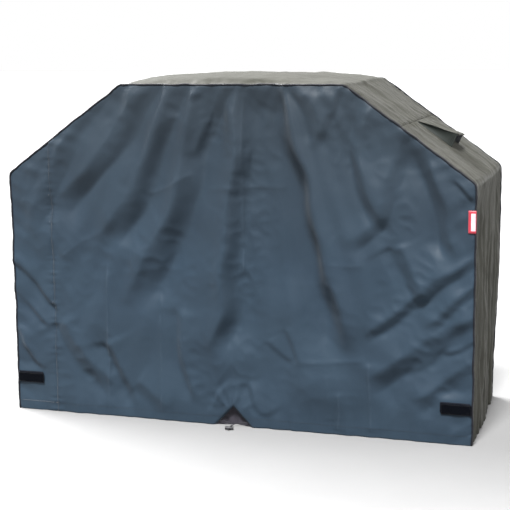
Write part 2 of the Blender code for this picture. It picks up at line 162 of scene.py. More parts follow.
def beside_path(x, z, points):
    """(distance to the left of a path, share of its length) for every (x, z)."""
    path = smooth_path(points)
    start = lengths_along(path)
    steps = np.diff(start)
    best = np.full(x.shape, np.inf)
    signed = np.zeros(x.shape)
    share = np.zeros(x.shape)
    for i, step in enumerate(steps):
        dx, dz = (path[i + 1] - path[i]) / step
        ax, az = x - path[i, 0], z - path[i, 1]
        along = ax * dx + az * dz
        on = np.clip(along, 0 if i else -np.inf, step if i < len(steps) - 1 else np.inf)
        far = np.hypot(ax - on * dx, az - on * dz)
        left = az * dx - ax * dz
        closer = far < best
        best = np.where(closer, far, best)
        signed = np.where(closer, np.sign(left) * far, signed)
        share = np.where(closer, (start[i] + on) / start[-1], share)
    return signed, share


def flank(u, width, broad):
    """From -1 to 1 across a flank of that width; past its edges the cloth eases back."""
    steep = 2 * np.abs(u) / width
    rise = steep / (1 + steep**5) ** 0.2
    return np.sign(u) * rise * np.exp(-np.maximum(np.abs(u) - width / 2, 0) / broad)


def fold(x, z, points, height, width, broad, faces_left=True, fade=(0.10, 0.18)):
    """A fold whose steep flank runs along a path and faces one side."""
    left, share = beside_path(x, z, points)
    u = left if faces_left else -left
    ends = smooth(share / fade[0]) * smooth((1 - share) / fade[1])
    return -0.5 * height * flank(u, width, broad) * ends


def crease(x, z, points, height):
    """A sharp packing crease: a thin line, and the cloth sloping up to it on both sides, more on one."""
    left, share = beside_path(x, z, points)
    ends = smooth(share / 0.1) * smooth((1 - share) / 0.1) * (share >= 0) * (share <= 1)
    off = np.abs(left)
    arm = np.where(left > 0, 0.048, 0.024)
    return height * ends * (0.3 * np.exp(-off / 0.004) + 0.7 * np.exp(-off / arm))


# Outline of the cover, seen from the front


def half_outline(inset=0.0):
    """From the middle of the top to the right-hand foot: x, z and the outward normal of each point."""
    steps = 10
    down = math.pi / 2 - SLOPE
    rows = [(0.0, CROWN_Z - inset, 0.0, 1.0)]
    corners = (
        (HALF_TOP, CROWN_Z, TOP_CORNER_R, math.pi / 2, down),
        (HALF_W, SHOULDER_Z, SHOULDER_CORNER_R, down, 0.0),
    )
    for x, z, radius, first, last in corners:
        back = radius / math.cos((first - last) / 2)
        middle = (first + last) / 2
        cx, cz = x - back * math.cos(middle), z - back * math.sin(middle)
        for i in range(steps + 1):
            a = first + (last - first) * i / steps
            r = radius - inset
            rows.append((cx + r * math.cos(a), cz + r * math.sin(a), math.cos(a), math.sin(a)))
    rows.append((HALF_W - inset, 0.0, 1.0, 0.0))
    return np.array(rows)


OUTLINE = half_outline()
OUTLINE_S = lengths_along(OUTLINE[:, :2])
CORNER_S = OUTLINE_S[-2]  # where the vertical side starts
SIDE_START = CORNER_S - 0.06  # where the side's pleats start
FOOT_S = OUTLINE_S[-1]
SEAM_S = HALF_TOP + CROSS_SEAM_S - 0.003  # along the outline, whose top corner is rounded
WINDOW_START = SEAM_S + 0.024
WINDOW_END = SEAM_S + 0.119


def outline_at(s):
    """x, z and outward normal at a distance s from the middle of the top, negative to the left."""
    side = np.where(s < 0, -1.0, 1.0)
    a = np.abs(s)
    x, z, nx, nz = (np.interp(a, OUTLINE_S, OUTLINE[:, i]) for i in range(4))
    return side * x, z, side * nx, nz


def panel_top(x):
    """The height of the panels' upper edge, which is under the piping."""
    rows = half_outline(TUCK)[:-1]
    return np.interp(np.abs(x), rows[:, 0], rows[:, 1])


def edge_lines(x, z):
    """(distance in from it, place along it) for each straight edge of the front or back.

    The places start at different numbers, so that no two edges share a stretch of a random line.
    """
    away = -((np.abs(x) - HALF_TOP) * math.sin(SLOPE) + (z - CROWN_Z) * math.cos(SLOPE))
    along = (np.abs(x) - HALF_TOP) * math.cos(SLOPE) - (z - CROWN_Z) * math.sin(SLOPE)
    return [
        (x + HALF_W, z + 3.0),
        (HALF_W - x, z + 7.0),
        (CROWN_Z - z, x + 11.0),
        (np.where(x < 0, away, 1.0), along + 17.0),
        (np.where(x > 0, away, 1.0), along + 23.0),
    ]


# The front's folds. They fan out from the top and from the right-hand edge, and most flanks look down.

FRONT_FOLDS = (
    # path, height, width of the flank, how far the cloth eases back, whether the flank faces left of the path
    ([(-0.42, 1.17), (-0.54, 1.00), (-0.62, 0.88), (-0.73, 0.66)], 0.013, 0.046, 0.060, True),
    ([(-0.25, 1.22), (-0.37, 1.00), (-0.44, 0.91), (-0.54, 0.82), (-0.65, 0.70)], 0.017, 0.052, 0.060, True),
    ([(-0.15, 1.23), (-0.24, 0.99), (-0.28, 0.88), (-0.33, 0.78), (-0.47, 0.59)], 0.022, 0.056, 0.070, True),
    ([(-0.07, 1.24), (-0.12, 0.95), (-0.17, 0.75), (-0.25, 0.58), (-0.37, 0.37)], 0.029, 0.060, 0.080, True),
    ([(0.01, 1.20), (-0.06, 1.03), (-0.11, 0.90)], 0.010, 0.028, 0.030, True),
    (
        [(0.05, 1.24), (0.05, 0.96), (0.03, 0.78), (0.01, 0.56), (-0.01, 0.36), (-0.05, 0.22)],
        0.034, 0.050, 0.080, True,
    ),
    ([(0.08, 0.97), (0.07, 0.80), (0.10, 0.58)], 0.008, 0.018, 0.030, True),
    (
        [(0.13, 1.24), (0.20, 0.97), (0.26, 0.76), (0.32, 0.52), (0.36, 0.38), (0.37, 0.26)],
        0.034, 0.048, 0.080, False,
    ),
    ([(0.17, 1.20), (0.27, 1.07), (0.31, 0.96)], 0.009, 0.030, 0.030, False),
    ([(0.39, 1.18), (0.34, 1.05), (0.30, 0.94)], 0.004, 0.018, 0.030, True),
    ([(0.48, 1.15), (0.43, 0.98), (0.43, 0.90), (0.45, 0.82), (0.50, 0.69)], 0.012, 0.030, 0.060, False),
    ([(0.62, 1.04), (0.57, 0.89), (0.53, 0.78), (0.48, 0.70), (0.38, 0.62)], 0.007, 0.032, 0.050, True),
    ([(0.61, 1.00), (0.67, 0.83), (0.71, 0.73), (0.73, 0.60)], 0.015, 0.034, 0.050, False),
    ([(0.74, 0.86), (0.83, 0.77)], 0.004, 0.012, 0.015, False),
    ([(0.84, 0.62), (0.72, 0.54), (0.65, 0.48), (0.57, 0.42), (0.45, 0.33)], 0.010, 0.026, 0.040, True),
    ([(0.84, 0.54), (0.75, 0.46), (0.66, 0.36)], 0.007, 0.020, 0.030, True),
    ([(0.84, 0.42), (0.74, 0.36), (0.66, 0.29), (0.58, 0.24), (0.46, 0.16)], 0.013, 0.050, 0.060, True),
    ([(0.84, 0.36), (0.78, 0.31), (0.71, 0.29)], 0.005, 0.014, 0.015, True),
    ([(0.84, 0.27), (0.74, 0.19), (0.62, 0.11)], 0.009, 0.032, 0.040, True),
    ([(0.55, 0.65), (0.60, 0.55), (0.66, 0.45)], 0.007, 0.036, 0.040, False),
    ([(0.18, 0.36), (0.21, 0.30), (0.24, 0.22)], 0.003, 0.014, 0.025, False),
    ([(0.12, 0.30), (0.16, 0.26), (0.21, 0.23)], 0.003, 0.014, 0.025, False),
    ([(-0.83, 0.53), (-0.74, 0.47), (-0.64, 0.36)], 0.006, 0.014, 0.025, False),
    ([(-0.83, 0.45), (-0.74, 0.36), (-0.69, 0.29)], 0.005, 0.012, 0.025, False),
    ([(-0.82, 0.30), (-0.76, 0.19), (-0.69, 0.13)], 0.007, 0.018, 0.030, False),
    ([(-0.65, 0.34), (-0.56, 0.20), (-0.44, 0.07)], 0.009, 0.040, 0.050, False),
    ([(-0.47, 0.28), (-0.42, 0.17), (-0.36, 0.01)], 0.009, 0.026, 0.040, False),
    ([(-0.37, 0.12), (-0.30, 0.07), (-0.24, 0.03)], 0.005, 0.034, 0.035, False),
    ([(-0.20, 0.40), (-0.18, 0.20), (-0.16, 0.07)], 0.007, 0.022, 0.040, False),
)
FRONT_CREASES = (
    # path, height
    ([(-0.45, 0.56), (-0.455, 0.30), (-0.465, 0.01)], 0.0050),
    ([(-0.26, 0.46), (-0.26, 0.25), (-0.26, 0.01)], 0.0036),
    ([(0.045, 1.14), (0.04, 0.85), (0.035, 0.50)], 0.0040),
    ([(0.47, 0.26), (0.476, 0.13), (0.48, 0.01)], 0.0052),
    ([(0.37, 0.15), (0.372, 0.08), (0.365, 0.01)], 0.0030),
    ([(0.33, 0.21), (0.335, 0.12), (0.34, 0.04)], 0.0022),
    ([(-0.09, 0.81), (0.03, 0.82), (0.20, 0.825)], 0.0026),
    ([(-0.30, 0.79), (-0.24, 0.81), (-0.13, 0.865)], 0.0036),
    ([(0.20, 0.235), (0.33, 0.245), (0.47, 0.26)], 0.0036),
    ([(0.34, 0.58), (0.40, 0.575), (0.46, 0.58)], 0.0022),
    ([(-0.46, 0.66), (-0.54, 0.62), (-0.63, 0.56)], 0.0026),
    ([(-0.77, 0.76), (-0.71, 0.74), (-0.67, 0.71)], 0.0024),
)
BACK_FOLDS = (
    ([(-0.33, 1.20), (-0.45, 0.92), (-0.60, 0.74)], 0.017, 0.044, 0.060, True),
    ([(-0.20, 1.22), (-0.29, 0.88), (-0.44, 0.60)], 0.021, 0.046, 0.070, True),
    ([(-0.05, 1.24), (-0.10, 0.80), (-0.19, 0.45)], 0.020, 0.040, 0.080, True),
    ([(0.08, 1.24), (0.15, 0.84), (0.20, 0.55), (0.22, 0.28)], 0.022, 0.038, 0.080, False),
    ([(0.27, 1.20), (0.37, 0.90), (0.50, 0.66)], 0.018, 0.040, 0.070, False),
    ([(0.48, 1.12), (0.57, 0.90), (0.67, 0.76)], 0.011, 0.032, 0.050, False),
    ([(-0.84, 0.60), (-0.66, 0.44), (-0.50, 0.26)], 0.016, 0.040, 0.060, False),
    ([(-0.84, 0.44), (-0.70, 0.32), (-0.58, 0.16)], 0.012, 0.028, 0.040, False),
    ([(0.84, 0.48), (0.74, 0.40), (0.64, 0.28)], 0.010, 0.022, 0.035, True),
    ([(0.62, 0.40), (0.52, 0.24), (0.40, 0.08)], 0.014, 0.038, 0.050, True),
    ([(0.84, 0.30), (0.76, 0.20), (0.70, 0.12)], 0.009, 0.018, 0.030, True),
    ([(0.02, 0.40), (0.00, 0.22), (-0.04, 0.06)], 0.007, 0.024, 0.040, True),
)
BACK_CREASES = (
    ([(0.46, 0.70), (0.455, 0.35), (0.46, 0.01)], 0.0038),
    ([(0.25, 0.60), (0.255, 0.30), (0.25, 0.01)], 0.0030),
    ([(-0.04, 1.14), (-0.045, 0.70), (-0.04, 0.20)], 0.0036),
    ([(-0.45, 0.50), (-0.46, 0.25), (-0.45, 0.01)], 0.0036),
    ([(-0.20, 0.815), (0.03, 0.82), (0.30, 0.81)], 0.0026),
)
# The finer parts of the panels' grids
CREASE_X = {-1: (-0.455, -0.25, 0.04, 0.37, 0.47), 1: (-0.455, -0.04, 0.25, 0.455)}

SOFT = wave_field(11, 0.22, 0.60)
CRINKLE = wave_field(12, 0.045, 0.11, 26)
CRINKLE_WHERE = wave_field(13, 0.25, 0.6)
CRUMPLE = wave_field(14, 0.14, 0.34, 14)
WARP = wave_field(15, 0.12, 0.40)
FAN = wave_field(16, 0.07, 0.20, 10, 0.0, 0.25)
FOLD_DEPTH = 2.5
FOLD_WIDTH = 1.3
FOLD_LIMIT = {-1: 0.038, 1: 0.022}
EDGE_SHORT = wave_line(21, 0.012, 0.030)
EDGE_LONG = wave_line(22, 0.045, 0.110)
SEAM_SHORT = wave_line(23, 0.014, 0.032)
HEM_LINE = wave_line(24, 0.030, 0.120)


def calm_under_pieces(x, z):
    """0 where a hook-and-loop tab or the label lies on the front, 1 away from them."""
    calm = np.ones(np.broadcast(x, z).shape)
    for node in ("right_hook_tab", "left_hook_tab", "side_label"):
        low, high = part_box(node)
        over_x = (np.abs(x - (low.x + high.x) / 2) - (high.x - low.x) / 2) / 0.04
        over_z = (np.abs(z - (low.z + high.z) / 2) - (high.z - low.z) / 2 - 0.004) / 0.04
        calm = np.minimum(calm, smooth(np.maximum(over_x, over_z)))
    return calm


def panel_out(x, z, facing):
    """How far the front or back cloth stands out of its flat plane at (x, z)."""
    folds, creases = (FRONT_FOLDS, FRONT_CREASES) if facing < 0 else (BACK_FOLDS, BACK_CREASES)
    slack = -0.003  # the cloth hangs a little inside its flat plane
    total = slack + 0.0045 * SOFT(x + 5 * facing, z)
    warp_x = x + 0.005 * WARP(x + 2 * facing, z)
    warp_z = z + 0.005 * WARP(x + 9 * facing, z)
    for path, height, width, broad, faces_left in folds:
        total += FOLD_DEPTH * fold(warp_x, warp_z, path, height, FOLD_WIDTH * width, broad, faces_left)
    total = FOLD_LIMIT[facing] * np.tanh(total / FOLD_LIMIT[facing])
    total += fan_folds(x, z, facing)
    total += crumples(x, z, facing)
    if facing < 0:
        total += notch_pull(x, z)
    hem = smooth(z / 0.13)
    total = total * (0.18 + 0.82 * hem) + 0.0012 * HEM_LINE(x + 31 * facing) * (1 - hem)
    for path, height in creases:
        total += 1.5 * crease(warp_x * 0.15 + x * 0.85, z, path, height) * (0.5 + 0.5 * hem)
    if facing < 0:
        calm = calm_under_pieces(x, z)
        total = total * calm - 0.0012 * (1 - calm)
    return hold_at_seams(total, x, z, facing)


def fan_folds(x, z, facing):
    """Shallow folds that fan out from a place above the cover."""
    across, down = x - 0.02, 1.75 - z
    angle = np.arctan2(across, down)
    far = np.hypot(across, down)
    swing = FAN(angle * 1.2 + 3 * facing, far * 0.12)
    return 0.0016 * swing * smooth((z - 0.05) / 0.3)


def crumples(x, z, facing):
    """Short sharp creases from being packed, stronger in some places."""
    where = 0.25 + 0.75 * smooth(0.5 + 0.7 * CRINKLE_WHERE(x - facing, z))
    fine = CRINKLE(x + 3 * facing, z)
    large = CRUMPLE(x + 3 * facing, z)
    return where * (0.0009 * (1.0 - np.abs(fine)) + 0.0024 * (1.0 - np.abs(large)) + 0.0003 * fine)


def hold_at_seams(total, x, z, facing):
    """Hold the cloth near its seams, with the small puckers that sewing leaves along them."""
    edges = [(np.maximum(away, 0.0), along) for away, along in edge_lines(x, z)]
    reach = np.where(total < 0, 0.100, 0.038)  # cloth that falls back does so over a longer way
    inward = np.minimum.reduce([smooth((away - 0.003) / reach) for away, _ in edges])
    for away, along in edges:
        slanted = along + 0.6 * away
        total = total + 0.0008 * EDGE_SHORT(slanted) * np.exp(-((away / 0.020) ** 2))
        total = total + 0.0016 * EDGE_LONG(slanted) * np.exp(-((away / 0.060) ** 2)) * smooth(away / 0.01)
    seam = np.abs(x - facing * SEAM_X)
    total = total + 0.0006 * SEAM_SHORT(z) * np.exp(-((seam / 0.022) ** 2))
    total = total - 0.0034 * np.exp(-((seam / 0.0045) ** 2))
    roll = np.minimum.reduce([away for away, _ in edges])
    return total * (0.48 + 0.52 * inward) - 0.0024 * np.exp(-((roll / 0.007) ** 2))


def notch_pull(x, z):
    """Small folds that run up from the notch, where the drawcord gathers the hem."""
    up = z - NOTCH_HEIGHT
    above = np.maximum(up, 0.0)
    away = np.hypot(x, above)
    angle = np.arctan2(x, above + 0.03)
    rays = np.sin(angle * 7.5 + 0.6) * 0.0028 + np.sin(angle * 15.0 - 1.0) * 0.0014
    pouch = fold(x, z, [(0.05, 0.16), (0.08, 0.07), (0.12, 0.045), (0.18, 0.09)], 0.009, 0.018, 0.025, False)
    cheek = fold(x, z, [(0.00, 0.16), (-0.05, 0.12), (-0.10, 0.02)], 0.008, 0.016, 0.03, False, (0.3, 0.2))
    gathers = 0.0020 * np.sin(x * 2 * math.pi / 0.014 + 1.0)
    gathers *= np.exp(-((x / 0.018) ** 2) - (up / 0.024) ** 2)
    return rays * np.exp(-((away / 0.085) ** 2)) * smooth(away / 0.015) + pouch + cheek + gathers


# Meshes


def new_object(name, mesh, body="cover"):
    obj = bpy.data.objects.new(name, mesh)
    bpy.context.scene.collection.objects.link(obj)
    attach(obj, body)
    return obj


def add_piece(name, mesh, stuff, body="cover"):
    """A piece of one material, in place of the CAD piece of that name."""
    mesh.materials.append(MATERIALS[stuff])
    obj = new_object(name, mesh, body)
    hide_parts(name)
    return obj


def draw_in(points):
    """Pull the two back corners in a little towards the foot, as the drawcord does."""
    most = 0.016
    x, y, z = np.array(points, float).T
    back = smooth((y + 0.10) / 0.40)
    low = smooth((0.62 - z) / 0.62)
    outer = smooth((np.abs(x) - 0.45) / 0.35)
    return np.stack([x - most * back * low * outer * np.sign(x), y, z], axis=-1)


def mesh_from(name, points, faces, uv=None, wear_and_highlight=None):
    """A mesh from arrays: points (n, 3), quads (m, 4), cloth coordinates in metres (n, 2), and pale marks
    (n): rubbed coat, and a painted highlight along creases.
    """
    points = draw_in(points)
    mesh = bpy.data.meshes.new(name)
    mesh.vertices.add(len(points))
    mesh.vertices.foreach_set("co", np.asarray(points, np.float32).ravel())
    faces = np.asarray(faces, np.int32)
    mesh.loops.add(faces.size)
    mesh.loops.foreach_set("vertex_index", faces.ravel())
    mesh.polygons.add(len(faces))
    mesh.polygons.foreach_set("loop_start", np.arange(0, faces.size, faces.shape[1], dtype=np.int32))
    mesh.update(calc_edges=True)
    if uv is not None:
        layer = mesh.uv_layers.new(name="Cloth")
        layer.data.foreach_set("uv", np.asarray(uv, np.float32)[faces.ravel()].ravel())
    if wear_and_highlight is not None:
        attribute = mesh.attributes.new("wear_and_highlight", "FLOAT", "POINT")
        attribute.data.foreach_set("value", np.asarray(wear_and_highlight, np.float32).ravel())
    mesh.shade_smooth()
    return mesh


def grid_faces(rows, columns, keep, flip):
    """The quads of a grid of points, all of them or those to keep."""
    index = np.arange(rows * columns).reshape(rows, columns)
    quads = np.stack([index[:-1, :-1], index[:-1, 1:], index[1:, 1:], index[1:, :-1]], axis=-1)
    quads = quads[keep] if keep is not None else quads.reshape(-1, 4)
    return quads[:, ::-1] if flip else quads


def sheet_object(name, points, uv, stuff, outward, body="cover", keep=None, wear_and_highlight=None, thick=CLOTH):
    """A sheet of cloth in place of a CAD piece, from a grid of points.

    Its front looks along outward and its coating is inside.
    """
    rows, columns = points.shape[:2]
    mid = (rows // 2, columns // 2)
    u = points[mid[0], mid[1] + 1] - points[mid]
    v = points[mid[0] + 1, mid[1]] - points[mid]
    flip = np.dot(np.cross(u, v), outward) < 0
    faces = grid_faces(rows, columns, keep, flip)
    mesh = mesh_from(name, points.reshape(-1, 3), faces, uv.reshape(-1, 2), wear_and_highlight)
    mesh.materials.append(MATERIALS[stuff])
    mesh.materials.append(MATERIALS["coating"])
    obj = new_object(name, mesh, body)
    thicken = obj.modifiers.new("thickness", "SOLIDIFY")
    thicken.thickness = thick
    thicken.offset = -1.0
    thicken.material_offset = 1
    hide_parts(name)
    return obj


def tube_mesh(name, path, radii, sides=12):
    """A closed tube along a path of points (n, 3)."""
    path = np.asarray(path, float)
    radii = np.broadcast_to(radii, len(path))
    tangent = np.gradient(path, axis=0)
    tangent /= np.linalg.norm(tangent, axis=1)[:, None]
    side = np.cross(tangent[0], (0.0, 0.0, 1.0))
    if np.linalg.norm(side) < 0.1:
        side = np.cross(tangent[0], (0.0, 1.0, 0.0))
    rings = []
    angles = np.linspace(0, 2 * math.pi, sides, endpoint=False)
    for point, t, r in zip(path, tangent, radii):
        side = side - t * np.dot(side, t)
        side /= np.linalg.norm(side)
        other = np.cross(t, side)
        rings.append(point + r * (np.cos(angles)[:, None] * side + np.sin(angles)[:, None] * other))
    points = np.concatenate(rings)
    n = len(path)
    i, j = np.meshgrid(np.arange(n - 1), np.arange(sides), indexing="ij")
    a = i * sides + j
    b = i * sides + (j + 1) % sides
    quads = np.stack([a, b, b + sides, a + sides], axis=-1).reshape(-1, 4)
    uv = np.stack([np.repeat(lengths_along(path), sides), np.tile(angles * radii.mean(), n)], axis=-1)
    mesh = mesh_from(name, points, quads, uv)
    bm = bmesh.new()
    bm.from_mesh(mesh)
    bm.verts.ensure_lookup_table()
    for ring in (range(sides), range((n - 1) * sides, n * sides)):
        face = bm.faces.new([bm.verts[k] for k in ring])
        face.smooth = False
    bmesh.ops.recalc_face_normals(bm, faces=bm.faces)
    bm.to_mesh(mesh)
    bm.free()
    return mesh


def tree_of(*objects):
    """A search tree of final surfaces, in world space."""
    graph = bpy.context.evaluated_depsgraph_get()
    points, faces = [], []
    for obj in objects:
        mesh = obj.evaluated_get(graph).to_mesh()
        base = len(points)
        points += [obj.matrix_world @ v.co for v in mesh.vertices]
        faces += [[base + i for i in p.vertices] for p in mesh.polygons]
        obj.evaluated_get(graph).to_mesh_clear()
    return BVHTree.FromPolygons(points, faces)


def row_at(place, run, rows):
    """The row at a place between the rows of an array, which lie at the places in run."""
    return np.array([np.interp(place, run, column) for column in rows.T])


def stitches(name, runs, thread, body="cover"):
    """Thread: short round stitches along each run of (points, outward normals)."""
    length, gap, radius, sides = 0.0034, 0.0012, 0.00028, 6
    rings = ((-0.5, 0.25), (-0.42, 0.8), (0.0, 1.0), (0.42, 0.8), (0.5, 0.25))  # place along, size
    angles = np.linspace(0, 2 * math.pi, sides, endpoint=False)
    points, faces = [], []
    for path, normals in runs:
        path, normals = np.asarray(path, float), np.asarray(normals, float)
        run = lengths_along(path)
        for s in np.arange(length / 2, run[-1] - length / 2, length + gap):
            a, b = row_at(s - length / 2, run, path), row_at(s + length / 2, run, path)
            n = row_at(s, run, normals)
            n /= np.linalg.norm(n)
            t = (b - a) / np.linalg.norm(b - a)
            w = np.cross(t, n)
            base = len(points)
            for along, size in rings:
                centre = (a + b) / 2 + t * along * length + n * radius * (0.7 - 1.6 * abs(along))
                for angle in angles:
                    points.append(centre + radius * size * (math.cos(angle) * w + math.sin(angle) * n))
            for r in range(len(rings) - 1):
                for k in range(sides):
                    k2 = (k + 1) % sides
                    at = base + r * sides
                    faces.append((at + k, at + k2, at + sides + k2, at + sides + k))
    mesh = mesh_from(name, np.array(points), np.array(faces))
    mesh.materials.append(MATERIALS[thread])
    return new_object(name, mesh, body)


# Materials


def fill_in(node, **values):
    """Set a node's inputs; an underscore in a key stands for a space."""
    for key, value in values.items():
        node.inputs[key.replace("_", " ")].default_value = value


class Shader:
    """A small helper to write node trees as expressions."""

    def __init__(self, name):
        self.material = bpy.data.materials.new(name)
        self.material.use_nodes = True
        self.tree = self.material.node_tree
        self.bsdf = self.tree.nodes["Principled BSDF"]

    def node(self, kind, **settings):
        made = self.tree.nodes.new(kind)
        for key, value in settings.items():
            setattr(made, key, value)
        return made

    def link(self, source, target):
        self.tree.links.new(source, target)

    def put(self, socket, value):
        """Link another node's output to a socket, or set it to a number or colour."""
        if isinstance(value, bpy.types.NodeSocket):
            self.link(value, socket)
        else:
            socket.default_value = value

    def math(self, operation, a, b=0.0, c=0.0):
        made = self.node("ShaderNodeMath", operation=operation)
        for socket, value in zip(made.inputs, (a, b, c)):
            self.put(socket, value)
        return made.outputs[0]

    def uv(self):
        """The cloth's coordinates in metres: together, across and along."""
        made = self.node("ShaderNodeUVMap", uv_map="Cloth")
        apart = self.node("ShaderNodeSeparateXYZ")
        self.link(made.outputs[0], apart.inputs[0])
        return made.outputs[0], apart.outputs[0], apart.outputs[1]

    def place(self):
        """The object's own coordinates."""
        return self.node("ShaderNodeTexCoord").outputs["Object"]

    def noise(self, vector, scale, detail=2.0, roughness=0.5, distortion=0.0):
        made = self.node("ShaderNodeTexNoise")
        self.link(vector, made.inputs["Vector"])
        fill_in(made, Scale=scale, Detail=detail, Roughness=roughness, Distortion=distortion)
        return made.outputs["Fac"]

    def range(self, value, low, high, to_low, to_high):
        made = self.node("ShaderNodeMapRange")
        self.link(value, made.inputs["Value"])
        fill_in(made, From_Min=low, From_Max=high, To_Min=to_low, To_Max=to_high)
        return made.outputs["Result"]

    def mix(self, share, a, b):
        made = self.node("ShaderNodeMix", data_type="RGBA")
        self.put(made.inputs["Factor"], share)
        self.put(made.inputs["A"], a)
        self.put(made.inputs["B"], b)
        return made.outputs["Result"]

    # The pale-mark attribute: rubbed coat, and along the creases also a painted highlight.
    def wear_and_highlight(self):
        return self.node("ShaderNodeAttribute", attribute_name="wear_and_highlight").outputs["Fac"]

    def weave(self, u, v, pitch):
        """Plain weave: 0 to 1, where warp and weft threads pass over each other in turn."""
        turn = 2 * math.pi / pitch
        warp = self.math("SINE", self.math("MULTIPLY", u, turn))
        weft = self.math("SINE", self.math("MULTIPLY", v, turn))
        return self.math("MULTIPLY_ADD", self.math("MULTIPLY", warp, weft), 0.5, 0.5)

    def bump(self, height, distance, strength=1.0, below=None):
        made = self.node("ShaderNodeBump")
        fill_in(made, Distance=distance, Strength=strength)
        self.link(height, made.inputs["Height"])
        if below is not None:
            self.link(below, made.inputs["Normal"])
        return made.outputs["Normal"]

    def finish(self, colour, roughness, normal, **sockets):
        self.put(self.bsdf.inputs["Base Color"], colour)
        self.put(self.bsdf.inputs["Roughness"], roughness)
        self.link(normal, self.bsdf.inputs["Normal"])
        fill_in(self.bsdf, **sockets)
        return self.material


def linear(red, green, blue):
    """A screen colour from 0 to 255, as the linear colour that shaders take."""
    values = [c / 255 for c in (red, green, blue)]
    return (*[c / 12.92 if c <= 0.04045 else ((c + 0.055) / 1.055) ** 2.4 for c in values], 1.0)


def coated_cloth(name, light, dark, dusty, roughness=0.52, sheen=0.04, gloss=0.16, greyer_top=None):
    """Polyester oxford cloth: a fine weave under a thin coat, faint blotches, dust, and pale lines along
    creases, partly rubbed coat and partly a painted highlight.

    The last argument is a greyer colour that the cloth shifts towards, more so near the top.
    """
    s = Shader(name)
    vector, u, v = s.uv()
    weave = s.weave(u, v, 0.0009)
    blotch = s.noise(vector, 3.2, 4.0, 0.55)
    slub = s.noise(vector, 260.0, 2.0, 0.6)
    colour = s.mix(s.range(blotch, 0.30, 0.72, 0.0, 1.0), dark, light)
    colour = s.mix(s.range(slub, 0.35, 0.7, 0.0, 0.10), colour, dusty)
    colour = s.mix(s.range(weave, 0.0, 1.0, 0.16, 0.0), colour, (0.0, 0.0, 0.0, 1.0))
    patches = s.range(s.noise(vector, 14.0, 3.0), 0.4, 0.65, 0.0, 0.30)
    # Paler where the attribute is set: rubbed coat, and along the creases also a painted highlight that
    # brings them out.
    colour = s.mix(s.math("MULTIPLY", s.wear_and_highlight(), patches), colour, dusty)
    if greyer_top:
        colour = s.mix(s.range(v, 0.55, 1.2, 0.0, 0.6), colour, greyer_top)
    rough = s.range(s.noise(vector, 9.0, 3.0), 0.3, 0.7, roughness - 0.06, roughness + 0.08)
    fine = s.noise(vector, 34.0, 5.0, 0.55, 0.8)
    rumple = s.bump(fine, 0.0009, 0.22)
    normal = s.bump(weave, 0.00012, 0.6, rumple)
    return s.finish(colour, rough, normal, Sheen_Weight=sheen, Sheen_Roughness=0.45, Specular_IOR_Level=gloss)


def plain_cloth(name, colour, second, pitch, roughness, depth=0.0002, sheen=0.05, gloss=0.25):
    """Ribbon, binding or lining: a visible weave and a slight unevenness of colour."""
    s = Shader(name)
    vector, u, v = s.uv()
    weave = s.weave(u, v, pitch)
    blotch = s.noise(vector, 30.0, 3.0)
    mixed = s.mix(s.range(blotch, 0.3, 0.7, 0.0, 1.0), colour, second)
    mixed = s.mix(s.range(weave, 0.0, 1.0, 0.35, 0.0), mixed, (0.0, 0.0, 0.0, 1.0))
    rough = s.range(s.noise(vector, 60.0, 2.0), 0.3, 0.7, roughness - 0.05, roughness + 0.07)
    fine = s.bump(s.noise(vector, 140.0, 3.0), 0.0005, 0.5)
    normal = s.bump(weave, depth, 0.7, fine)
    return s.finish(mixed, rough, normal, Sheen_Weight=sheen, Specular_IOR_Level=gloss)


def solid_stuff(name, colour, second, roughness, scale=300.0, depth=0.0001, **sockets):
    """Plastic, steel or thread: fine grain, uneven gloss, colour placed by the object's own coordinates."""
    s = Shader(name)
    place = s.place()
    grain = s.noise(place, scale, 4.0, 0.6)
    colour = s.mix(s.range(grain, 0.3, 0.7, 0.0, 1.0), colour, second)
    rough = s.range(s.noise(place, scale / 4, 3.0), 0.3, 0.7, roughness - 0.06, roughness + 0.08)
    return s.finish(colour, rough, s.bump(grain, depth, 0.5), **sockets)


def hook_cloth(name, colour, second, scale, depth):
    """Hook-and-loop tape: a dense field of tiny hooks or loops."""
    s = Shader(name)
    vector, _, _ = s.uv()
    cells = s.node("ShaderNodeTexVoronoi", feature="F1")
    s.link(vector, cells.inputs["Vector"])
    cells.inputs["Scale"].default_value = scale
    fuzz = s.range(cells.outputs["Distance"], 0.0, 0.6, 1.0, 0.0)
    mixed = s.mix(s.range(fuzz, 0.0, 1.0, 0.0, 1.0), colour, second)
    rough = s.range(s.noise(vector, 90.0, 2.0), 0.3, 0.7, 0.80, 0.95)
    return s.finish(mixed, rough, s.bump(fuzz, depth, 1.0), Specular_IOR_Level=0.05)


def label_cloth():
    """Red woven ribbon with a plain pale panel inside a thin red border."""
    s = Shader("label_ribbon")
    vector, u, v = s.uv()
    left, right, bottom, top = 0.0088, 0.0228, 0.0085, 0.0640
    inside = 1.0
    for place, low, high in ((u, left, right), (v, bottom, top)):
        inside = s.math("MULTIPLY", inside, s.math("GREATER_THAN", place, low))
        inside = s.math("MULTIPLY", inside, s.math("LESS_THAN", place, high))
    shade = s.range(s.noise(vector, 60.0, 2.0), 0.3, 0.7, 0.0, 1.0)
    panel = s.mix(shade, linear(206, 190, 196), linear(178, 158, 170))
    colour = s.mix(inside, linear(158, 26, 46), panel)
    weave = s.weave(u, v, 0.0007)
    colour = s.mix(s.range(weave, 0.0, 1.0, 0.18, 0.0), colour, (0.0, 0.0, 0.0, 1.0))
    rough = s.range(s.noise(vector, 90.0, 2.0), 0.3, 0.7, 0.42, 0.58)
    return s.finish(colour, rough, s.bump(weave, 0.00012, 0.6), Sheen_Weight=0.2)


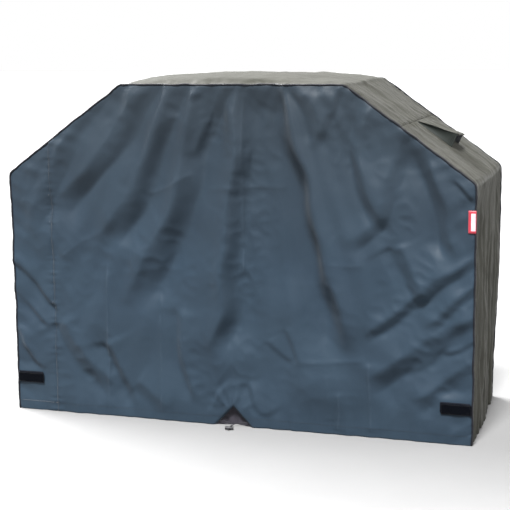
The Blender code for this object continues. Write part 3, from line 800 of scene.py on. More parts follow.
def make_materials():
    return {
        "panel_fabric": coated_cloth(
            "panel_fabric", linear(37, 51, 63), linear(33, 46, 58), linear(58, 70, 82),
            greyer_top=linear(38, 43, 47),
        ),
        "band_fabric": coated_cloth(
            "band_fabric", linear(45, 45, 39), linear(39, 39, 34), linear(56, 55, 49),
            roughness=0.74, sheen=0.05, gloss=0.10,
        ),
        # A darker copy of the band fabric for the hood's cheeks: painted shade, since they face the front,
        # away from the light from above.
        "shaded_band_fabric": coated_cloth(
            "shaded_band_fabric", linear(40, 44, 42), linear(34, 38, 36), linear(54, 57, 54),
            roughness=0.6, gloss=0.14,
        ),
        "coating": coated_cloth(
            "coating", linear(86, 88, 92), linear(72, 74, 78), linear(104, 106, 108),
            roughness=0.35, sheen=0.0,
        ),
        "piping": plain_cloth("piping", linear(18, 20, 28), linear(12, 13, 20), 0.0012, 0.62, sheen=0.0),
        "lining": plain_cloth("lining", linear(58, 55, 63), linear(42, 41, 49), 0.0011, 0.60),
        "tape": plain_cloth("tape", linear(40, 43, 49), linear(32, 34, 40), 0.0011, 0.50),
        "mesh": solid_stuff("mesh", linear(34, 34, 38), linear(22, 22, 25), 0.55),
        "cord": plain_cloth("cord", linear(26, 26, 30), linear(44, 44, 50), 0.0016, 0.65, 0.0004),
        "hook_and_loop": hook_cloth("hook_and_loop", linear(2, 3, 7), linear(6, 9, 15), 900.0, 0.0006),
        "loop_pile": hook_cloth("loop_pile", linear(10, 12, 18), linear(34, 38, 50), 600.0, 0.0012),
        "label_ribbon": label_cloth(),
        "spring_wire": solid_stuff(
            "spring_wire", linear(190, 190, 194), linear(160, 160, 166), 0.28, 900.0, Metallic=1.0
        ),
        "lock_plastic": solid_stuff("lock_plastic", linear(36, 36, 39), linear(26, 26, 29), 0.40),
        "thread_blue": solid_stuff("thread_blue", linear(20, 26, 34), linear(14, 19, 27), 0.6, 900.0),
        "thread_olive": solid_stuff("thread_olive", linear(62, 62, 55), linear(48, 48, 42), 0.5, 900.0),
        "thread_black": solid_stuff("thread_black", linear(16, 17, 22), linear(30, 32, 38), 0.5, 900.0),
        "floor": solid_stuff("floor", linear(108, 108, 108), linear(106, 106, 106), 0.95, 3.0),
    }


# Front and back


def flat_panel(name, facing, start, end, lift):
    """The cloth between two x places, from the hem to the outline, with the notch at the front."""
    marks = [*CREASE_X[facing], start, end]
    if facing < 0:
        marks += [-0.06, -0.03, 0.0, 0.03, 0.06]
    xs = even_places(start, end, 0.0066, 0.0030, marks, 0.016)
    shares = even_places(0.0, 1.0, 0.0062, 0.0034, (0.0, 0.03, 1.0), 0.03)
    x, share = np.meshgrid(xs, shares)
    bottom = np.full_like(x, FLOOR_GAP)
    if facing < 0:
        bottom = np.maximum(bottom, NOTCH_HEIGHT * (1 - np.abs(x) / NOTCH_HALF))
    z = bottom + share * (panel_top(x) - bottom)
    out = panel_out(x, z, facing) + lift
    if facing < 0:  # the cloth turns in at the notch's edge
        over = z - NOTCH_HEIGHT * (1 - np.abs(x) / NOTCH_HALF)
        turn = np.exp(-((np.maximum(over, 0) / 0.006) ** 2)) * (np.abs(x) < NOTCH_HALF + 0.004)
        out -= 0.0045 * turn
    points = np.stack([x, facing * (HALF_D + out), z], axis=-1)
    uv = np.stack([x * -facing, z], axis=-1)
    # Pale lines along the creases: rubbed coat and a painted highlight.
    wear_and_highlight = crease_wear_and_highlight(x, z, facing)
    obj = sheet_object(name, points, uv, "panel_fabric", (0, facing, 0), wear_and_highlight=wear_and_highlight)
    return obj


def crease_wear_and_highlight(x, z, facing):
    """1 along a packing crease, where the coat is rubbed pale and a painted highlight brings the crease out.
    """
    total = np.zeros_like(x)
    for path, _ in FRONT_CREASES if facing < 0 else BACK_CREASES:
        left, share = beside_path(x, z, path)
        total += np.exp(-((left / 0.0028) ** 2)) * smooth(share / 0.1) * smooth((1 - share) / 0.1)
    return np.clip(total, 0, 1)


def make_panels(facing):
    """The main panel and, lapped under it at the seam, the joining strip, as a list."""
    lap, under = 0.010, -0.0011
    edge, seam = HALF_W - TUCK, facing * SEAM_X
    made = []
    for piece, first, second, lift in (
        ("main_panel", -facing * edge, seam, 0.0),
        ("joining_strip", seam - facing * lap, facing * edge, under),
    ):
        start, end = sorted((first, second))
        made.append(flat_panel(f"{facing_name(facing)}_{piece}", facing, start, end, lift))
    return made


# The olive band


BAND_SOFT = wave_field(41, 0.18, 0.5)
BAND_CRINKLE = wave_field(44, 0.030, 0.080, 22)
BAND_CRUMPLE = wave_field(45, 0.10, 0.26, 14)
BAND_EDGE = wave_line(46, 0.016, 0.040)


def random_pleats(seed, count, height, width, lean, start, end):
    """Pleats along the band, as (place in depth, lean, height, width, start, end, which way it faces)."""
    rng = np.random.default_rng(seed)
    rows = []
    for i in range(count):
        middle = -0.27 + 0.54 * (i + rng.uniform(0.2, 0.8)) / count
        size = rng.uniform(0.45, 1.0)
        first = start + rng.uniform(0.0, 0.4) * (end - start)
        last = end - rng.uniform(0.0, 0.35) * (end - start) * (rng.random() < 0.5)
        tilt = rng.uniform(-lean, lean)
        rows.append((middle, tilt, height * size, width * size, first, last, rng.random() < 0.5))
    return rows


def pleat_out(s, y, rows):
    """How far those pleats stand out of the band."""
    total = np.zeros(np.broadcast(s, y).shape)
    for middle, lean, height, width, first, last, forward in rows:
        share = (s - first) / (last - first)
        place = middle + lean * (share - 0.5) + 0.004 * np.sin(share * 9 + middle * 40)
        u = (y - place) if forward else (place - y)
        inside = smooth(share / 0.15) * smooth((1 - share) / 0.12 + (last > FOOT_S - 0.05))
        total -= 0.5 * height * flank(u, width, 0.02) * inside * (share > 0) * (share < 1)
    return total


def dome_rise(s, y):
    """How far the crown's middle is pushed up by what it covers."""
    across = np.maximum(0.0, 1.0 - np.abs(s / (HALF_TOP + 0.012)) ** 3)
    deep = np.maximum(0.0, 1.0 - np.abs(y / BAND_HALF_D) ** 6)
    return DOME * across * deep


def band_out(s, y):
    """How far the band stands out of the outline, s along it from the middle of the top."""
    a = np.abs(s)
    side = np.sign(s)
    down = smooth((a - CORNER_S + 0.02) / 0.12)  # 1 on the vertical side
    total = dome_rise(s, y)
    total += 0.0018 * BAND_SOFT(s, y) + 0.0005 * BAND_CRINKLE(s, y)
    total += 0.0012 * (1 - np.abs(BAND_CRUMPLE(s, y)))
    for one in (-1, 1):
        on_side = side == one
        total += on_side * pleat_out(a, y, SIDE_PLEATS[one]) * (0.25 + 0.75 * down)
        total += on_side * pleat_out(a, y, SHOULDER_PLEATS[one]) * (1 - down)
    total -= 0.004 * down * (1 - np.abs(y / BAND_HALF_D) ** 4)
    seam = np.abs(a - SEAM_S)
    total += 0.0012 * BAND_EDGE(y + 5) * np.exp(-((seam / 0.022) ** 2))
    total -= 0.0012 * np.exp(-((seam / 0.006) ** 2))
    near_edge = BAND_HALF_D - np.abs(y)
    hold = smooth((near_edge + 0.004) / 0.05)
    total = total * (0.2 + 0.8 * hold) * vent_calm(s, y)
    total += 0.0010 * BAND_EDGE(s + 9 * np.sign(y)) * np.exp(-((near_edge / 0.02) ** 2))
    return total - 0.0020 * np.exp(-((np.maximum(near_edge, 0) / 0.006) ** 2))


def vent_calm(s, y):
    """Small where a vent sits on the shoulder, 1 away from it."""
    near, far = vent_span()
    off_s = np.abs(np.abs(s) - (SEAM_S + 0.078)) - 0.075  # from a stretch around the window
    off_y = np.abs(y - (near + far) / 2) - (far - near) / 2
    return 0.25 + 0.75 * smooth(np.maximum(off_s, off_y) / 0.03)


def seam_shift(s, facing):
    """How far the piped seam stands out of its flat plane, a distance s along the outline."""
    inset = 0.004
    x, z, nx, nz = outline_at(s)
    return panel_out(x - inset * nx, np.maximum(z - inset * nz, 0.0), facing) + 0.0018


def band_sheet(name, places, ys, keep=None):
    """The band's cloth at those places along the outline and in depth, out to the piped seams."""
    s, y = np.meshgrid(places, ys, indexing="ij")
    x, z, nx, nz = outline_at(s)
    out = band_out(s, y)
    z = z + out * nz
    shifted = y.copy()
    for facing in (-1, 1):
        near = smooth((facing * y - BAND_HALF_D + 0.05) / 0.05)
        shifted += facing * near * seam_shift(places, facing)[:, None]
    points = np.stack([x + out * nx, shifted, np.maximum(z, FLOOR_GAP)], axis=-1)
    uv = np.stack([y, s], axis=-1)
    _, _, ox, oz = outline_at(places[len(places) // 2])
    # Paler along the band's edges, by the piped seams.
    wear_and_highlight = np.exp(-((BAND_HALF_D - np.abs(y)) / 0.006) ** 2) * 0.4
    return sheet_object(name, points, uv, "band_fabric", (float(ox), 0, float(oz)), keep=keep, wear_and_highlight=wear_and_highlight)


def make_crown():
    places = even_places(-SEAM_S, SEAM_S, 0.0080, 0.0035, (-SEAM_S, -HALF_TOP, HALF_TOP, SEAM_S), 0.03)
    ys = even_places(-BAND_REACH, BAND_REACH, 0.0075, 0.0035, (-BAND_REACH, BAND_REACH), 0.025)
    obj = band_sheet("crown_panel", places, ys)


def window_frame(side):
    """The vent window along the outline and in depth, from the mesh piece in the frame less its lap."""
    low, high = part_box(side_name(side) + "_vent_mesh")
    return WINDOW_START, WINDOW_END, low.y + MESH_LAP, high.y - MESH_LAP


def make_side_panel(side):
    first, last, near, far = window_frame(side)
    top = SEAM_S - 0.010  # the side laps under the crown at the cross seam
    places = np.concatenate([
        even_places(top, first, 0.005),
        even_places(first, last, 0.008)[1:],
        even_places(last, SIDE_START, 0.007)[1:],
        even_places(SIDE_START, CORNER_S + 0.02, 0.004)[1:],
        even_places(CORNER_S + 0.02, FOOT_S - FLOOR_GAP, 0.010)[1:],
    ])
    ys = np.concatenate([
        even_places(-BAND_REACH, near, 0.0055, 0.0032, (-BAND_REACH,), 0.03),
        even_places(near, far, 0.0055)[1:],
        even_places(far, BAND_REACH, 0.0055, 0.0032, (BAND_REACH,), 0.03)[1:],
    ])
    hole_s = (places[:-1] >= first - 1e-6) & (places[1:] <= last + 1e-6)
    hole_y = (ys[:-1] >= near - 1e-6) & (ys[1:] <= far + 1e-6)
    keep = ~(hole_s[:, None] & hole_y[None, :])
    name = side_name(side) + "_side_panel"
    obj = band_sheet_lapped(name, side * places, ys, keep, top)


def band_sheet_lapped(name, places, ys, keep, top):
    """The same, with its upper end set in by the thickness of the crown that laps over it."""
    obj = band_sheet(name, places, ys, keep)
    mesh = obj.data
    co = np.zeros(len(mesh.vertices) * 3, np.float32)
    mesh.vertices.foreach_get("co", co)
    co = co.reshape(len(places), len(ys), 3)
    _, _, nx, nz = outline_at(places)
    under = -0.0012 * (1 - smooth((np.abs(places) - top - 0.008) / 0.006))
    co[:, :, 0] += (under * nx)[:, None]
    co[:, :, 2] += (under * nz)[:, None]
    mesh.vertices.foreach_set("co", co.ravel())
    return obj


SIDE_PLEATS, SHOULDER_PLEATS = {}, {}
for side in (-1, 1):
    SIDE_PLEATS[side] = random_pleats(50 + side, 15, 0.012, 0.026, 0.05, SIDE_START, FOOT_S)
    SHOULDER_PLEATS[side] = random_pleats(55 + side, 8, 0.0030, 0.026, 0.12, 0.36, SIDE_START + 0.1)


# Piping, seams and hem


PIPE_WOBBLE = wave_line(61, 0.04, 0.16)
PIPE_SIZE = wave_line(62, 0.02, 0.06)


def make_piping(facing):
    """Bound cord sewn into the seam, a little uneven where the seam gathers."""
    name = facing_name(facing) + "_piping"
    s = even_places(-FOOT_S + 0.0015, FOOT_S - 0.0015, 0.007)
    x, z, nx, nz = outline_at(s)
    wobble = 0.0007 * PIPE_WOBBLE(s + 5 * facing)
    inset = PIPING_R - 0.0006 - wobble
    y = facing * (HALF_D - PIPING_R + 0.0008 + 0.0004 * PIPE_WOBBLE(s + 13) + seam_shift(s, facing))
    path = np.stack([x - inset * nx, y, z - inset * nz], axis=-1)
    radii = PIPING_R * (1.06 + 0.05 * PIPE_SIZE(s))
    add_piece(name, tube_mesh(name, path, radii, 14), "piping")


def on_panel(tree, xs, zs, facing):
    """Points just off the front or back cloth at these (x, z), and the outward direction there."""
    lift = 0.0004
    points, normals = [], []
    direction = Vector((0, -facing, 0))
    for x, z in zip(xs, zs):
        hit, normal, _, _ = tree.ray_cast(Vector((x, facing * (HALF_D + 0.2), z)), direction)
        if hit is None:
            continue
        normal = normal if normal.y * facing > 0 else -normal
        points.append(np.array(hit) + np.array(normal) * lift)
        normals.append(np.array(normal))
    return np.array(points), np.array(normals)


def make_panel_stitching(panels, facing):
    tree = tree_of(*panels)
    runs = []
    seam = facing * SEAM_X
    top = float(panel_top(np.array(SEAM_X))) - 0.012
    zs = np.arange(0.006, top, 0.004)
    for off in (0.0022, 0.0082):  # a double seam
        runs.append(on_panel(tree, np.full(len(zs), seam - facing * off), zs, facing))
    gap = NOTCH_HALF * (1 - HEM_HEIGHT / NOTCH_HEIGHT) + 0.004
    edge = HALF_W - 0.010
    spans = [(-edge, -gap), (gap, edge)] if facing < 0 else [(-edge, edge)]
    for start, end in spans:
        xs = np.arange(start, end, 0.005)
        runs.append(on_panel(tree, xs, np.full(len(xs), HEM_HEIGHT), facing))
    if facing < 0:
        zs = np.linspace(HEM_HEIGHT, NOTCH_HEIGHT + 0.004, 10)
        for side in (-1, 1):
            xs = side * (NOTCH_HALF * np.maximum(1 - zs / NOTCH_HEIGHT, 0.0) + 0.008)
            runs.append(on_panel(tree, xs, zs, facing))
    stitches(facing_name(facing) + "_stitching", runs, "thread_blue")


def on_band(s, y, lift=0.0005):
    """Points off the band's cloth, and the outward direction there."""
    x, z, nx, nz = outline_at(s)
    out = band_out(s, y) + lift
    points = np.stack([x + out * nx, y, z + out * nz], axis=-1)
    return points, np.stack([nx, np.zeros_like(y), nz], axis=-1)


def make_band_stitching():
    ys = np.arange(-BAND_HALF_D + 0.006, BAND_HALF_D - 0.006, 0.004)
    runs = []
    for side in (-1, 1):
        for off in (-0.0025, -0.0085):  # a double seam
            runs.append(on_band(np.full(len(ys), side * (SEAM_S + off)), ys))
        runs.append(on_band(np.full(len(ys), side * (FOOT_S - HEM_HEIGHT)), ys))
    stitches("band_stitching", runs, "thread_olive")


# Hem tunnels, tapes and drawcord, inside the cloth


def inner_strip(name, points, uv, outward):
    """A tape sewn flat to the inside of the cloth."""
    obj = sheet_object(name, points, uv, "tape", outward, thick=0.0006)


def tunnel_section():
    """(distance in from the cloth, height) round a hem tunnel, which bulges a little over the cord."""
    top = HEM_HEIGHT
    return [
        (0.0014, 0.0006), (0.0030, 0.0003), (0.0046, 0.0008), (0.0054, 0.0030), (0.0060, 0.0090),
        (0.0062, 0.0140), (0.0058, 0.0200), (0.0044, top - 0.004), (0.0024, top - 0.001),
        (0.0014, top + 0.002),
    ]


def clear_of_notch(xs, height):
    """Places along a front tunnel, whose inner end follows the notch's slanting edge."""
    away = np.abs(xs)
    near, far = away.min(), away.max()
    edge = max(near, NOTCH_HALF * (1 - height / NOTCH_HEIGHT) + 0.001)
    return np.sign(xs) * (edge + (away - near) * (far - edge) / (far - near))


def make_panel_tunnel(name, facing):
    low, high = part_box(name)
    spread = even_places(low.x, high.x, 0.009)
    rows = []
    section = tunnel_section()
    for depth, height in section:
        xs = clear_of_notch(spread, height) if facing < 0 else spread
        out = panel_out(xs, np.full(len(xs), height), facing) - depth
        puff = 0.0006 * HEM_LINE(xs * 2.3) * (0.003 < depth)
        rows.append(np.stack([xs, facing * (HALF_D + out + puff), np.full(len(xs), height)], axis=-1))
    points = np.array(rows)
    run = lengths_along(section)
    uv = np.stack(np.meshgrid(spread, run), axis=-1)
    inner_strip(name, points, uv, (0, -facing, 0))


def make_side_tunnel(side):
    name = side_name(side) + "_hem_tunnel"
    low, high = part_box(name)
    ys = even_places(low.y, high.y, 0.009)
    rows = []
    section = tunnel_section()
    for depth, height in section:
        s = np.full(len(ys), side * (FOOT_S - height))
        out = band_out(s, ys) - depth
        rows.append(np.stack([side * (HALF_W + out), ys, np.full(len(ys), height)], axis=-1))
    run = lengths_along(section)
    uv = np.stack(np.meshgrid(ys, run), axis=-1)
    inner_strip(name, np.array(rows), uv, (-side, 0, 0))


def make_seam_tape(facing):
    name = facing_name(facing) + "_seam_tape"
    low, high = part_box(name)
    xs = np.linspace(low.x, high.x, 6)
    zs = even_places(low.z, high.z, 0.006)
    x, z = np.meshgrid(xs, zs)
    points = np.stack([x, facing * (HALF_D + panel_out(x, z, facing) - 0.0026), z], axis=-1)
    uv = np.stack([x, z], axis=-1)
    inner_strip(name, points, uv, (0, -facing, 0))


def make_cross_seam_tape(side):
    name = side_name(side) + "_cross_seam_tape"
    low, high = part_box(name)
    s, y = np.meshgrid(side * (SEAM_S + np.linspace(-0.010, 0.010, 6)), even_places(low.y, high.y, 0.006))
    points, _ = on_band(s, y, -0.0028)
    _, _, ox, oz = outline_at(side * SEAM_S)
    uv = np.stack([s, y], axis=-1)
    inner_strip(name, points, uv, (-float(ox), 0, -float(oz)))


def make_drawcord():
    """The held cord, following the hem inside its tunnels."""
    low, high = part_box("drawcord")
    z = (low.z + high.z) / 2
    radius = (high.z - low.z) / 2
    bend = 0.010
    inner = 0.0033

    def behind_panel(xs, facing):
        out = panel_out(xs, np.full(len(xs), z), facing) - inner
        return np.stack([xs, facing * (HALF_D + out)], axis=-1)

    def behind_side(ys, side):
        out = band_out(np.full(len(ys), side * (FOOT_S - z)), ys) - inner
        return np.stack([side * (HALF_W + out), ys], axis=-1)

    front = even_places(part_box("front_right_hem_tunnel")[0].x + 0.002, high.x - bend, 0.012)
    back = even_places(-(high.x - bend), high.x - bend, 0.012)[::-1]
    ys = even_places(low.y + bend, high.y - bend, 0.012)
    path = np.concatenate([
        behind_panel(front, -1),
        behind_side(ys, 1),
        behind_panel(back, 1),
        behind_side(ys[::-1], -1),
        behind_panel(-front[::-1], -1),
    ])
    path = np.column_stack([path, np.full(len(path), z)])
    add_piece("drawcord", tube_mesh("drawcord", path, radius, 8), "cord")


# Notch, cord ends and knot


def make_notch_gusset():
    """The dark pleat behind the notch: its edges lie under the cloth, its middle is pushed in."""
    low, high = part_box("notch_gusset")
    half = high.x
    xs = even_places(-half, half, 0.003)
    shares = even_places(0.0, 1.0, 0.035)
    x, share = np.meshgrid(xs, shares)
    top = np.maximum(high.z * (1 - np.abs(x) / (half + 0.004)), 0.004)
    z = 0.0006 + share * top
    inside = np.clip(1 - np.abs(x) / half, 0, 1) * np.clip(1 - z / (high.z + 0.01), 0, 1)
    pleat = 0.0050 * np.sin(x * 85.0 + 0.9) * inside + 0.0016 * np.sin(x * 210.0 + z * 60) * inside
    y = low.y - 0.0010 + 0.012 * smooth(inside * 1.7) + pleat
    y = np.minimum(y, 0.030 - HALF_D)
    points = np.stack([x, y, z], axis=-1)
    uv = np.stack([x, z], axis=-1)
    obj = sheet_object("notch_gusset", points, uv, "lining", (0, -1, 0))


def cord_end_route(side):
    """The route of each cord end, as in the CAD source: tunnel, notch, lock, knot."""
    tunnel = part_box("front_right_hem_tunnel")[0].x
    cord_low, cord_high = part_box("drawcord")
    barrel_low, barrel_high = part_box("cord_lock_barrel")
    knot_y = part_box("cord_end_knot")[1].y
    y = cord_low.y + (cord_high.z - cord_low.z) / 2
    z = (cord_low.z + cord_high.z) / 2
    lock_z = (barrel_low.z + barrel_high.z) / 2
    points = [
        (tunnel + 0.0017, y, z),
        (0.0380, y - 0.0002, z - 0.0003),
        (0.0260, y - 0.0003, z - 0.0018),
        (0.0150, y - 0.0005, z - 0.0040),
        (0.0075, y - 0.0030, z - 0.0059),
        (0.0030, y - 0.0080, z - 0.0071),
        (CORD_SPACING, y - 0.0150, z - 0.0076),
        (CORD_SPACING, y - 0.0250, lock_z),
        (CORD_SPACING, y - 0.0350, lock_z),
        (CORD_SPACING, y - 0.0450, lock_z),
        (CORD_SPACING, knot_y + 0.0003, lock_z),
    ]
    return smooth_path([(side * px, py, pz) for px, py, pz in points], 6)


def make_cord_ends():
    low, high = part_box("drawcord")
    radius = (high.z - low.z) / 2
    nodes = [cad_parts[name] for name in ("cord_lock_barrel", "cord_lock_button", "cord_end_knot")]
    on_cord = [*nodes, make_spring()]
    for side in (-1, 1):
        name = side_name(side) + "_drawcord_end"
        path = cord_end_route(side)
        obj = add_piece(name, tube_mesh(name, path, radius), "cord")


# Vents


def vent_span():
    """The vent hoods' front and back ends, which are at the same depth on both sides."""
    low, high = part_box("right_vent_hood")
    return low.y, high.y


def shoulder_point(side, s, y, h=0.0):
    """A point s down the shoulder from the top corner and h out from its face, as an array."""
    x = HALF_TOP + s * math.cos(SLOPE) + h * math.sin(SLOPE)
    z = CROWN_Z - s * math.sin(SLOPE) + h * math.cos(SLOPE)
    return np.stack(np.broadcast_arrays(side * x, y, z), axis=-1)


def hood_point(side, u, v, y):
    """A point u along the open hood from its hinge line and v out from its middle layer."""
    near, far = vent_span()
    sag = 0.011  # at the far corner of the mouth
    v = v - sag * np.clip(u / HOOD_LENGTH, 0, 1) ** 1.4 * np.clip((y - near) / (far - near), 0, 1) ** 1.5
    s = CROSS_SEAM_S + 0.003 + u * math.cos(HOOD_OPEN) - v * math.sin(HOOD_OPEN)
    h = HOOD_LIFT + u * math.sin(HOOD_OPEN) + v * math.cos(HOOD_OPEN)
    return shoulder_point(side, s, y, h)


def press_flat(obj, side):
    """Give a hood's piece its own copy of its mesh; the hinge's normal and a point on it are worked out but
    not used.
    """
    normal = hood_point(side, 0, 1, 0) - hood_point(side, 0, 0, 0)
    anchor = hood_point(side, 0, 0, 0)
    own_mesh(obj)


def hood_crown(u, y):
    """The hood's top is a little slack between the stay and the seam, with ridges along its hem."""
    near, far = vent_span()
    across = (y - near) / (far - near)
    share = np.clip(u / HOOD_LENGTH, 0, 1)
    slack = -0.0050 * np.sin(math.pi * across) * np.sin(math.pi * share) ** 1.2
    folds = 0.0022 * np.sin(across * 19.0 + 5 * share) * np.sin(math.pi * share)
    hem = 0.0011 * np.sin((HOOD_LENGTH - u) * 2 * math.pi / 0.0062)
    hem *= smooth(1 - (HOOD_LENGTH - u - 0.018) / 0.006)
    return slack + folds + hem * (u > HOOD_LENGTH - 0.030)


def make_hood(side):
    """The hood's top: a sheet that ends in a lip rolled round the stay."""
    name = side_name(side) + "_vent_hood"
    near, far = vent_span()
    ys = even_places(near, far, 0.0040)
    lip_r = 0.0030
    centre_u = HOOD_LENGTH - lip_r
    us = even_places(0.0, centre_u, 0.0035, 0.0014, (centre_u - 0.012,), 0.03)
    rows = []
    for u in us:
        rows.append(hood_point(side, u, 0.0005 + hood_crown(np.full(len(ys), u), ys), ys))
    for i in range(1, 9):  # the lip, from the top round to the inside
        a = math.radians(90 - 26 * i)
        v = 0.0005 - lip_r + lip_r * math.sin(a)
        rows.append(hood_point(side, centre_u + lip_r * math.cos(a), v, ys))
    points = np.array(rows)
    run = lengths_along(points[:, 0])
    uv = np.stack(np.meshgrid(ys, run), axis=-1)
    outward = (side * math.sin(SLOPE - HOOD_OPEN), 0, math.cos(SLOPE - HOOD_OPEN))
    obj = sheet_object(name, points, uv, "band_fabric", outward, side_name(side) + "_vent")
    press_flat(obj, side)
    make_hood_stitching(side, ys)


def make_hood_stitching(side, ys):
    """Two rows along the hood's hem and one at its hinge."""
    runs = []
    for u in (HOOD_LENGTH - 0.0225, HOOD_LENGTH - 0.0075, 0.004):
        v = 0.0008 + hood_crown(np.full(len(ys), u), ys)
        normal = np.tile(hood_point(side, 0, 1, 0) - hood_point(side, 0, 0, 0), (len(ys), 1))
        runs.append((hood_point(side, u, v, ys), normal))
    thread = stitches(side_name(side) + "_hood_stitching", runs, "thread_olive", side_name(side) + "_vent")
    press_flat(thread, side)


def make_hood_stay(side):
    """The stiff rod in the hood's hem, bent a little by the cloth's pull."""
    name = side_name(side) + "_hood_stay"
    low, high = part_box(name)
    path = hood_point(side, HOOD_LENGTH - 0.0031, -0.0026, np.linspace(low.y, high.y, 24))
    obj = add_piece(name, tube_mesh(name, path, 0.0015), "lock_plastic", side_name(side) + "_vent")
    press_flat(obj, side)


def make_gussets(side):
    """The hood's cheeks: triangles that hang a little slack, hemmed along the mouth."""
    near, far = vent_span()
    for facing, word, edge in ((-1, "front", near), (1, "back", far)):
        name = f"{side_name(side)}_vent_gusset_{word}"
        us = even_places(0.004, HOOD_LENGTH - 0.0045, 0.0035, 0.0012, (HOOD_LENGTH - 0.012,), 0.03)
        shares = np.linspace(0, 1, 14)
        u, share = np.meshgrid(us, shares)
        top = hood_point(side, u, 0.0, edge)
        base_s = CROSS_SEAM_S + 0.003 + u * 1.018
        base = shoulder_point(side, base_s, edge, -0.0010)
        slack = np.sin(math.pi * share) * np.sin(math.pi * np.clip(u / HOOD_LENGTH, 0, 1)) * 0.0045
        hem = 0.0012 * np.sin((HOOD_LENGTH - u) * 2 * math.pi / 0.0058) * (u > HOOD_LENGTH - 0.024)
        y = edge - facing * (0.0006 + slack) + facing * hem * np.sin(math.pi * share)
        points = base + (top - base) * share[..., None]
        points[..., 1] = y
        uv = np.stack([u, share * u * math.sin(HOOD_OPEN)], axis=-1)
        # The cheeks take the darker copy of the band fabric: painted shade.
        obj = sheet_object(name, points, uv, "shaded_band_fabric", (0, facing, 0))
        anchor = shoulder_point(side, CROSS_SEAM_S + 0.1, edge)
        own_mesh(obj)


def make_vent_mesh(side):
    """A net of fine threads behind the window, crossing over and under."""
    name = side_name(side) + "_vent_mesh"
    low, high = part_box(name)
    pitch, radius = 0.0026, 0.00036
    middle_s = (WINDOW_START + WINDOW_END) / 2 - (SEAM_S - CROSS_SEAM_S)
    half_s = (WINDOW_END - WINDOW_START) / 2 + MESH_LAP
    ys = np.arange(low.y, high.y, pitch)
    ss = np.arange(middle_s - half_s, middle_s + half_s, pitch)
    bm = bmesh.new()
    depth, weave = -0.0020, radius * 0.8
    for i, y in enumerate(ys):
        h = depth + weave * np.where((np.arange(len(ss)) + i) % 2, 1, -1)
        add_thread(bm, shoulder_point(side, ss, np.full(len(ss), y), h), radius)
    for j, s in enumerate(ss):
        h = depth - weave * np.where((np.arange(len(ys)) + j) % 2, 1, -1)
        add_thread(bm, shoulder_point(side, np.full(len(ys), s), ys, h), radius)
    mesh = bpy.data.meshes.new(name)
    bm.to_mesh(mesh)
    bm.free()
    mesh.shade_smooth()
    add_piece(name, mesh, "mesh")


def add_thread(bm, path, radius):
    """Add one square thread of the net to a bmesh."""
    sides = 4
    tangent = np.gradient(path, axis=0)
    tangent /= np.linalg.norm(tangent, axis=1)[:, None]
    up = np.array([math.sin(SLOPE) * np.sign(path[0, 0]), 0.0, math.cos(SLOPE)])
    rings = []
    for point, t in zip(path, tangent):
        side = np.cross(t, up)
        side /= np.linalg.norm(side)
        other = np.cross(side, t)
        ring = []
        for k in range(sides):
            angle = 2 * math.pi * (k + 0.5) / sides
            ring.append(bm.verts.new(point + radius * (math.cos(angle) * side + math.sin(angle) * other)))
        rings.append(ring)
    for a, b in zip(rings, rings[1:]):
        for k in range(sides):
            bm.faces.new((a[k], a[(k + 1) % sides], b[(k + 1) % sides], b[k]))


# Hook-and-loop tabs and label


TAB_WAVE = wave_line(81, 0.05, 0.12)


def strap(name, slot, body, wave, corner=0.003, thick=0.0013, seed=0.0):
    """A flat strap with rounded corners and a slight wave, its outer face towards -Y."""
    low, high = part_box(name)
    xs = even_places(low.x, high.x, 0.0022)
    shares = np.linspace(0, 1, 15)
    x, share = np.meshgrid(xs, shares)
    end = np.minimum(x - low.x, high.x - x)
    cut_in = corner - np.sqrt(np.maximum(corner**2 - np.maximum(corner - end, 0) ** 2, 0))
    z = low.z + cut_in + share * (high.z - low.z - 2 * cut_in)
    out = wave * (TAB_WAVE(x + seed) + 0.4 * TAB_WAVE(3 * x + 2 * z + seed)) * smooth(end / 0.01)
    edge = np.minimum(end, np.minimum(z - low.z, high.z - z))
    out -= 0.0005 * np.exp(-((edge / 0.0012) ** 2))
    points = np.stack([x, np.full_like(x, low.y) - out, z], axis=-1)
    uv = np.stack([x - low.x, z - low.z], axis=-1)
    obj = sheet_object(name, points, uv, slot, (0, -1, 0), body, thick=thick)
    obj.data.materials[1] = MATERIALS[slot]
    return obj


def frame_run(obj, low, high, inset):
    """A stitched rectangle just inside the edge of a strap."""
    x0, x1, z0, z1 = low.x + inset, high.x - inset, low.z + inset, high.z - inset
    xs = np.concatenate([np.linspace(x0, x1, 40), np.full(14, x1), np.linspace(x1, x0, 40), np.full(14, x0)])
    zs = np.concatenate([np.full(40, z0), np.linspace(z0, z1, 14), np.full(40, z1), np.linspace(z1, z0, 14)])
    return on_panel(tree_of(obj), xs, zs, -1)


def make_tab(side):
    word = side_name(side)
    for piece, stuff, body, wave, seed, seam, inset in (
        ("_loop_patch", "loop_pile", "cover", 0.00025, side, "_patch_stitching", 0.0025),
        ("_hook_tab", "hook_and_loop", word + "_tab", 0.0005, 3 * side, "_tab_stitching", 0.0022),
    ):
        obj = strap(word + piece, stuff, body, wave, seed=seed)
        run = frame_run(obj, *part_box(word + piece), inset)
        stitches(word + seam, [run], "thread_black", body)


# Pieces kept from the CAD model


def finish_cad_pieces():
    """Give the lock's two plastic parts and the knot their materials."""
    for node in ("cord_lock_barrel", "cord_lock_button"):
        give_material(node, "lock_plastic")
    give_material("cord_end_knot", "cord")


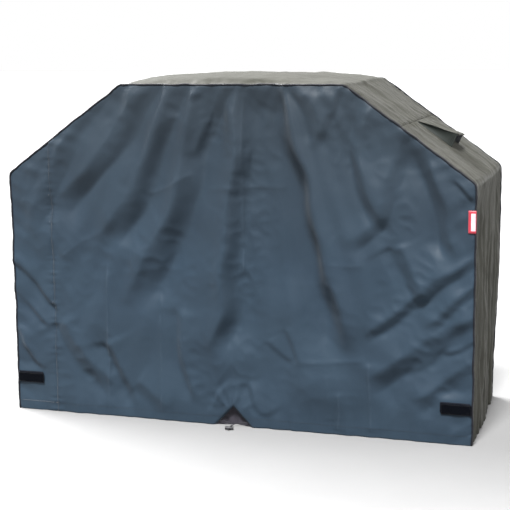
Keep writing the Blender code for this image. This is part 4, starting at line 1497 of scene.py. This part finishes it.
def make_spring():
    """The lock's coil spring, drawn at rest, though the real spring closes up as the button is pressed."""
    low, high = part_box("cord_lock_spring")
    wire, turns = 0.00025, 3
    coil_r = (high.z - low.z) / 2 - wire
    share = np.linspace(0, 1, 32 * turns)
    angle = 2 * math.pi * turns * share
    path = np.stack(
        [
            low.x + wire + (high.x - low.x - 2 * wire) * share,
            (low.y + high.y) / 2 + coil_r * np.cos(angle),
            (low.z + high.z) / 2 + coil_r * np.sin(angle),
        ],
        axis=-1,
    )
    mesh = tube_mesh("cord_lock_spring", path, wire, 8)
    obj = add_piece("cord_lock_spring", mesh, "spring_wire", "cord_lock")
    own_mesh(obj)
    return obj


def give_material(node, slot):
    """Give a CAD piece that is kept its visible material."""
    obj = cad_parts[node]
    for i in range(len(obj.material_slots)):
        obj.material_slots[i].material = MATERIALS[slot]


# Camera, light and floor


def make_camera():
    """Look at the cover from where the photograph's camera was, fitted to the cover's corners."""
    yaw, pitch, roll, distance = math.radians(17.82), math.radians(9.65), math.radians(-0.61), 4.63
    target = Vector((-0.012, -0.005, 0.543))
    back = Vector((math.sin(yaw) * math.cos(pitch), -math.cos(yaw) * math.cos(pitch), math.sin(pitch)))
    right = (-back).cross(Vector((0, 0, 1))).normalized()
    up = right.cross(-back)
    tilted_right = right * math.cos(roll) + up * math.sin(roll)
    tilted_up = up * math.cos(roll) - right * math.sin(roll)
    camera = bpy.data.objects.new("camera", bpy.data.cameras.new("camera"))
    turn = Matrix((tilted_right, tilted_up, back)).transposed().to_4x4()
    camera.matrix_world = Matrix.Translation(target + back * distance) @ turn
    camera.data.sensor_width = 36.0
    camera.data.lens = 91.6
    bpy.context.scene.collection.objects.link(camera)
    bpy.context.scene.camera = camera


def make_sun(name, azimuth, elevation, strength, spread):
    """A sun seen from the object at an azimuth, from the front towards +X, and an elevation."""
    a, e = math.radians(azimuth), math.radians(elevation)
    towards = Vector((math.sin(a) * math.cos(e), -math.cos(a) * math.cos(e), math.sin(e)))
    light = bpy.data.objects.new(name, bpy.data.lights.new(name, "SUN"))
    light.data.energy = strength
    light.data.angle = math.radians(spread)
    light.rotation_euler = towards.to_track_quat("Z", "Y").to_euler()
    bpy.context.scene.collection.objects.link(light)


def make_world():
    """A pale studio: bright walls near the horizon, a dim ceiling that the key light makes up for."""
    world = bpy.data.worlds.new("studio")
    world.use_nodes = True
    tree = world.node_tree
    place = tree.nodes.new("ShaderNodeTexCoord")
    apart = tree.nodes.new("ShaderNodeSeparateXYZ")
    ramp = tree.nodes.new("ShaderNodeMapRange")
    tree.links.new(place.outputs["Generated"], apart.inputs[0])
    tree.links.new(apart.outputs["Z"], ramp.inputs["Value"])
    ramp.interpolation_type = "SMOOTHSTEP"
    fill_in(ramp, From_Min=0.05, From_Max=0.20, To_Min=1.0, To_Max=0.38)
    background = tree.nodes["Background"]
    fill_in(background, Color=(1.0, 1.0, 1.0, 1.0))
    tree.links.new(ramp.outputs["Result"], background.inputs["Strength"])
    bpy.context.scene.world = world


def make_studio():
    make_world()
    make_sun("key", -2, 62, 11.5, 12)
    make_sun("rim", -115, 36, 18.5, 45)
    make_sun("fill", 96, 12, 4.2, 60)
    far = 40.0
    corners = [(-far, -far, 0), (far, -far, 0), (far, far, 0), (-far, far, 0)]
    mesh = mesh_from("floor", corners, [(0, 1, 2, 3)])
    mesh.materials.append(MATERIALS["floor"])
    floor = bpy.data.objects.new("floor", mesh)
    bpy.context.scene.collection.objects.link(floor)
    bpy.context.scene.view_settings.view_transform = "Standard"


make_camera()
MATERIALS = make_materials()
make_cord_ends()
make_studio()
panels = {facing: make_panels(facing) for facing in (-1, 1)}
make_crown()
for side in (1, -1):
    make_side_panel(side)
    make_cross_seam_tape(side)
    make_side_tunnel(side)
    make_hood(side)
    make_hood_stay(side)
    make_gussets(side)
    make_vent_mesh(side)
    make_tab(side)
for facing in (-1, 1):
    make_piping(facing)
    make_panel_stitching(panels[facing], facing)
    make_seam_tape(facing)
make_band_stitching()
make_panel_tunnel("front_left_hem_tunnel", -1)
make_panel_tunnel("front_right_hem_tunnel", -1)
make_panel_tunnel("back_hem_tunnel", 1)
make_notch_gusset()
make_drawcord()
strap("side_label", "label_ribbon", "label", 0.0003, corner=0.0008, thick=0.0009)
finish_cad_pieces()
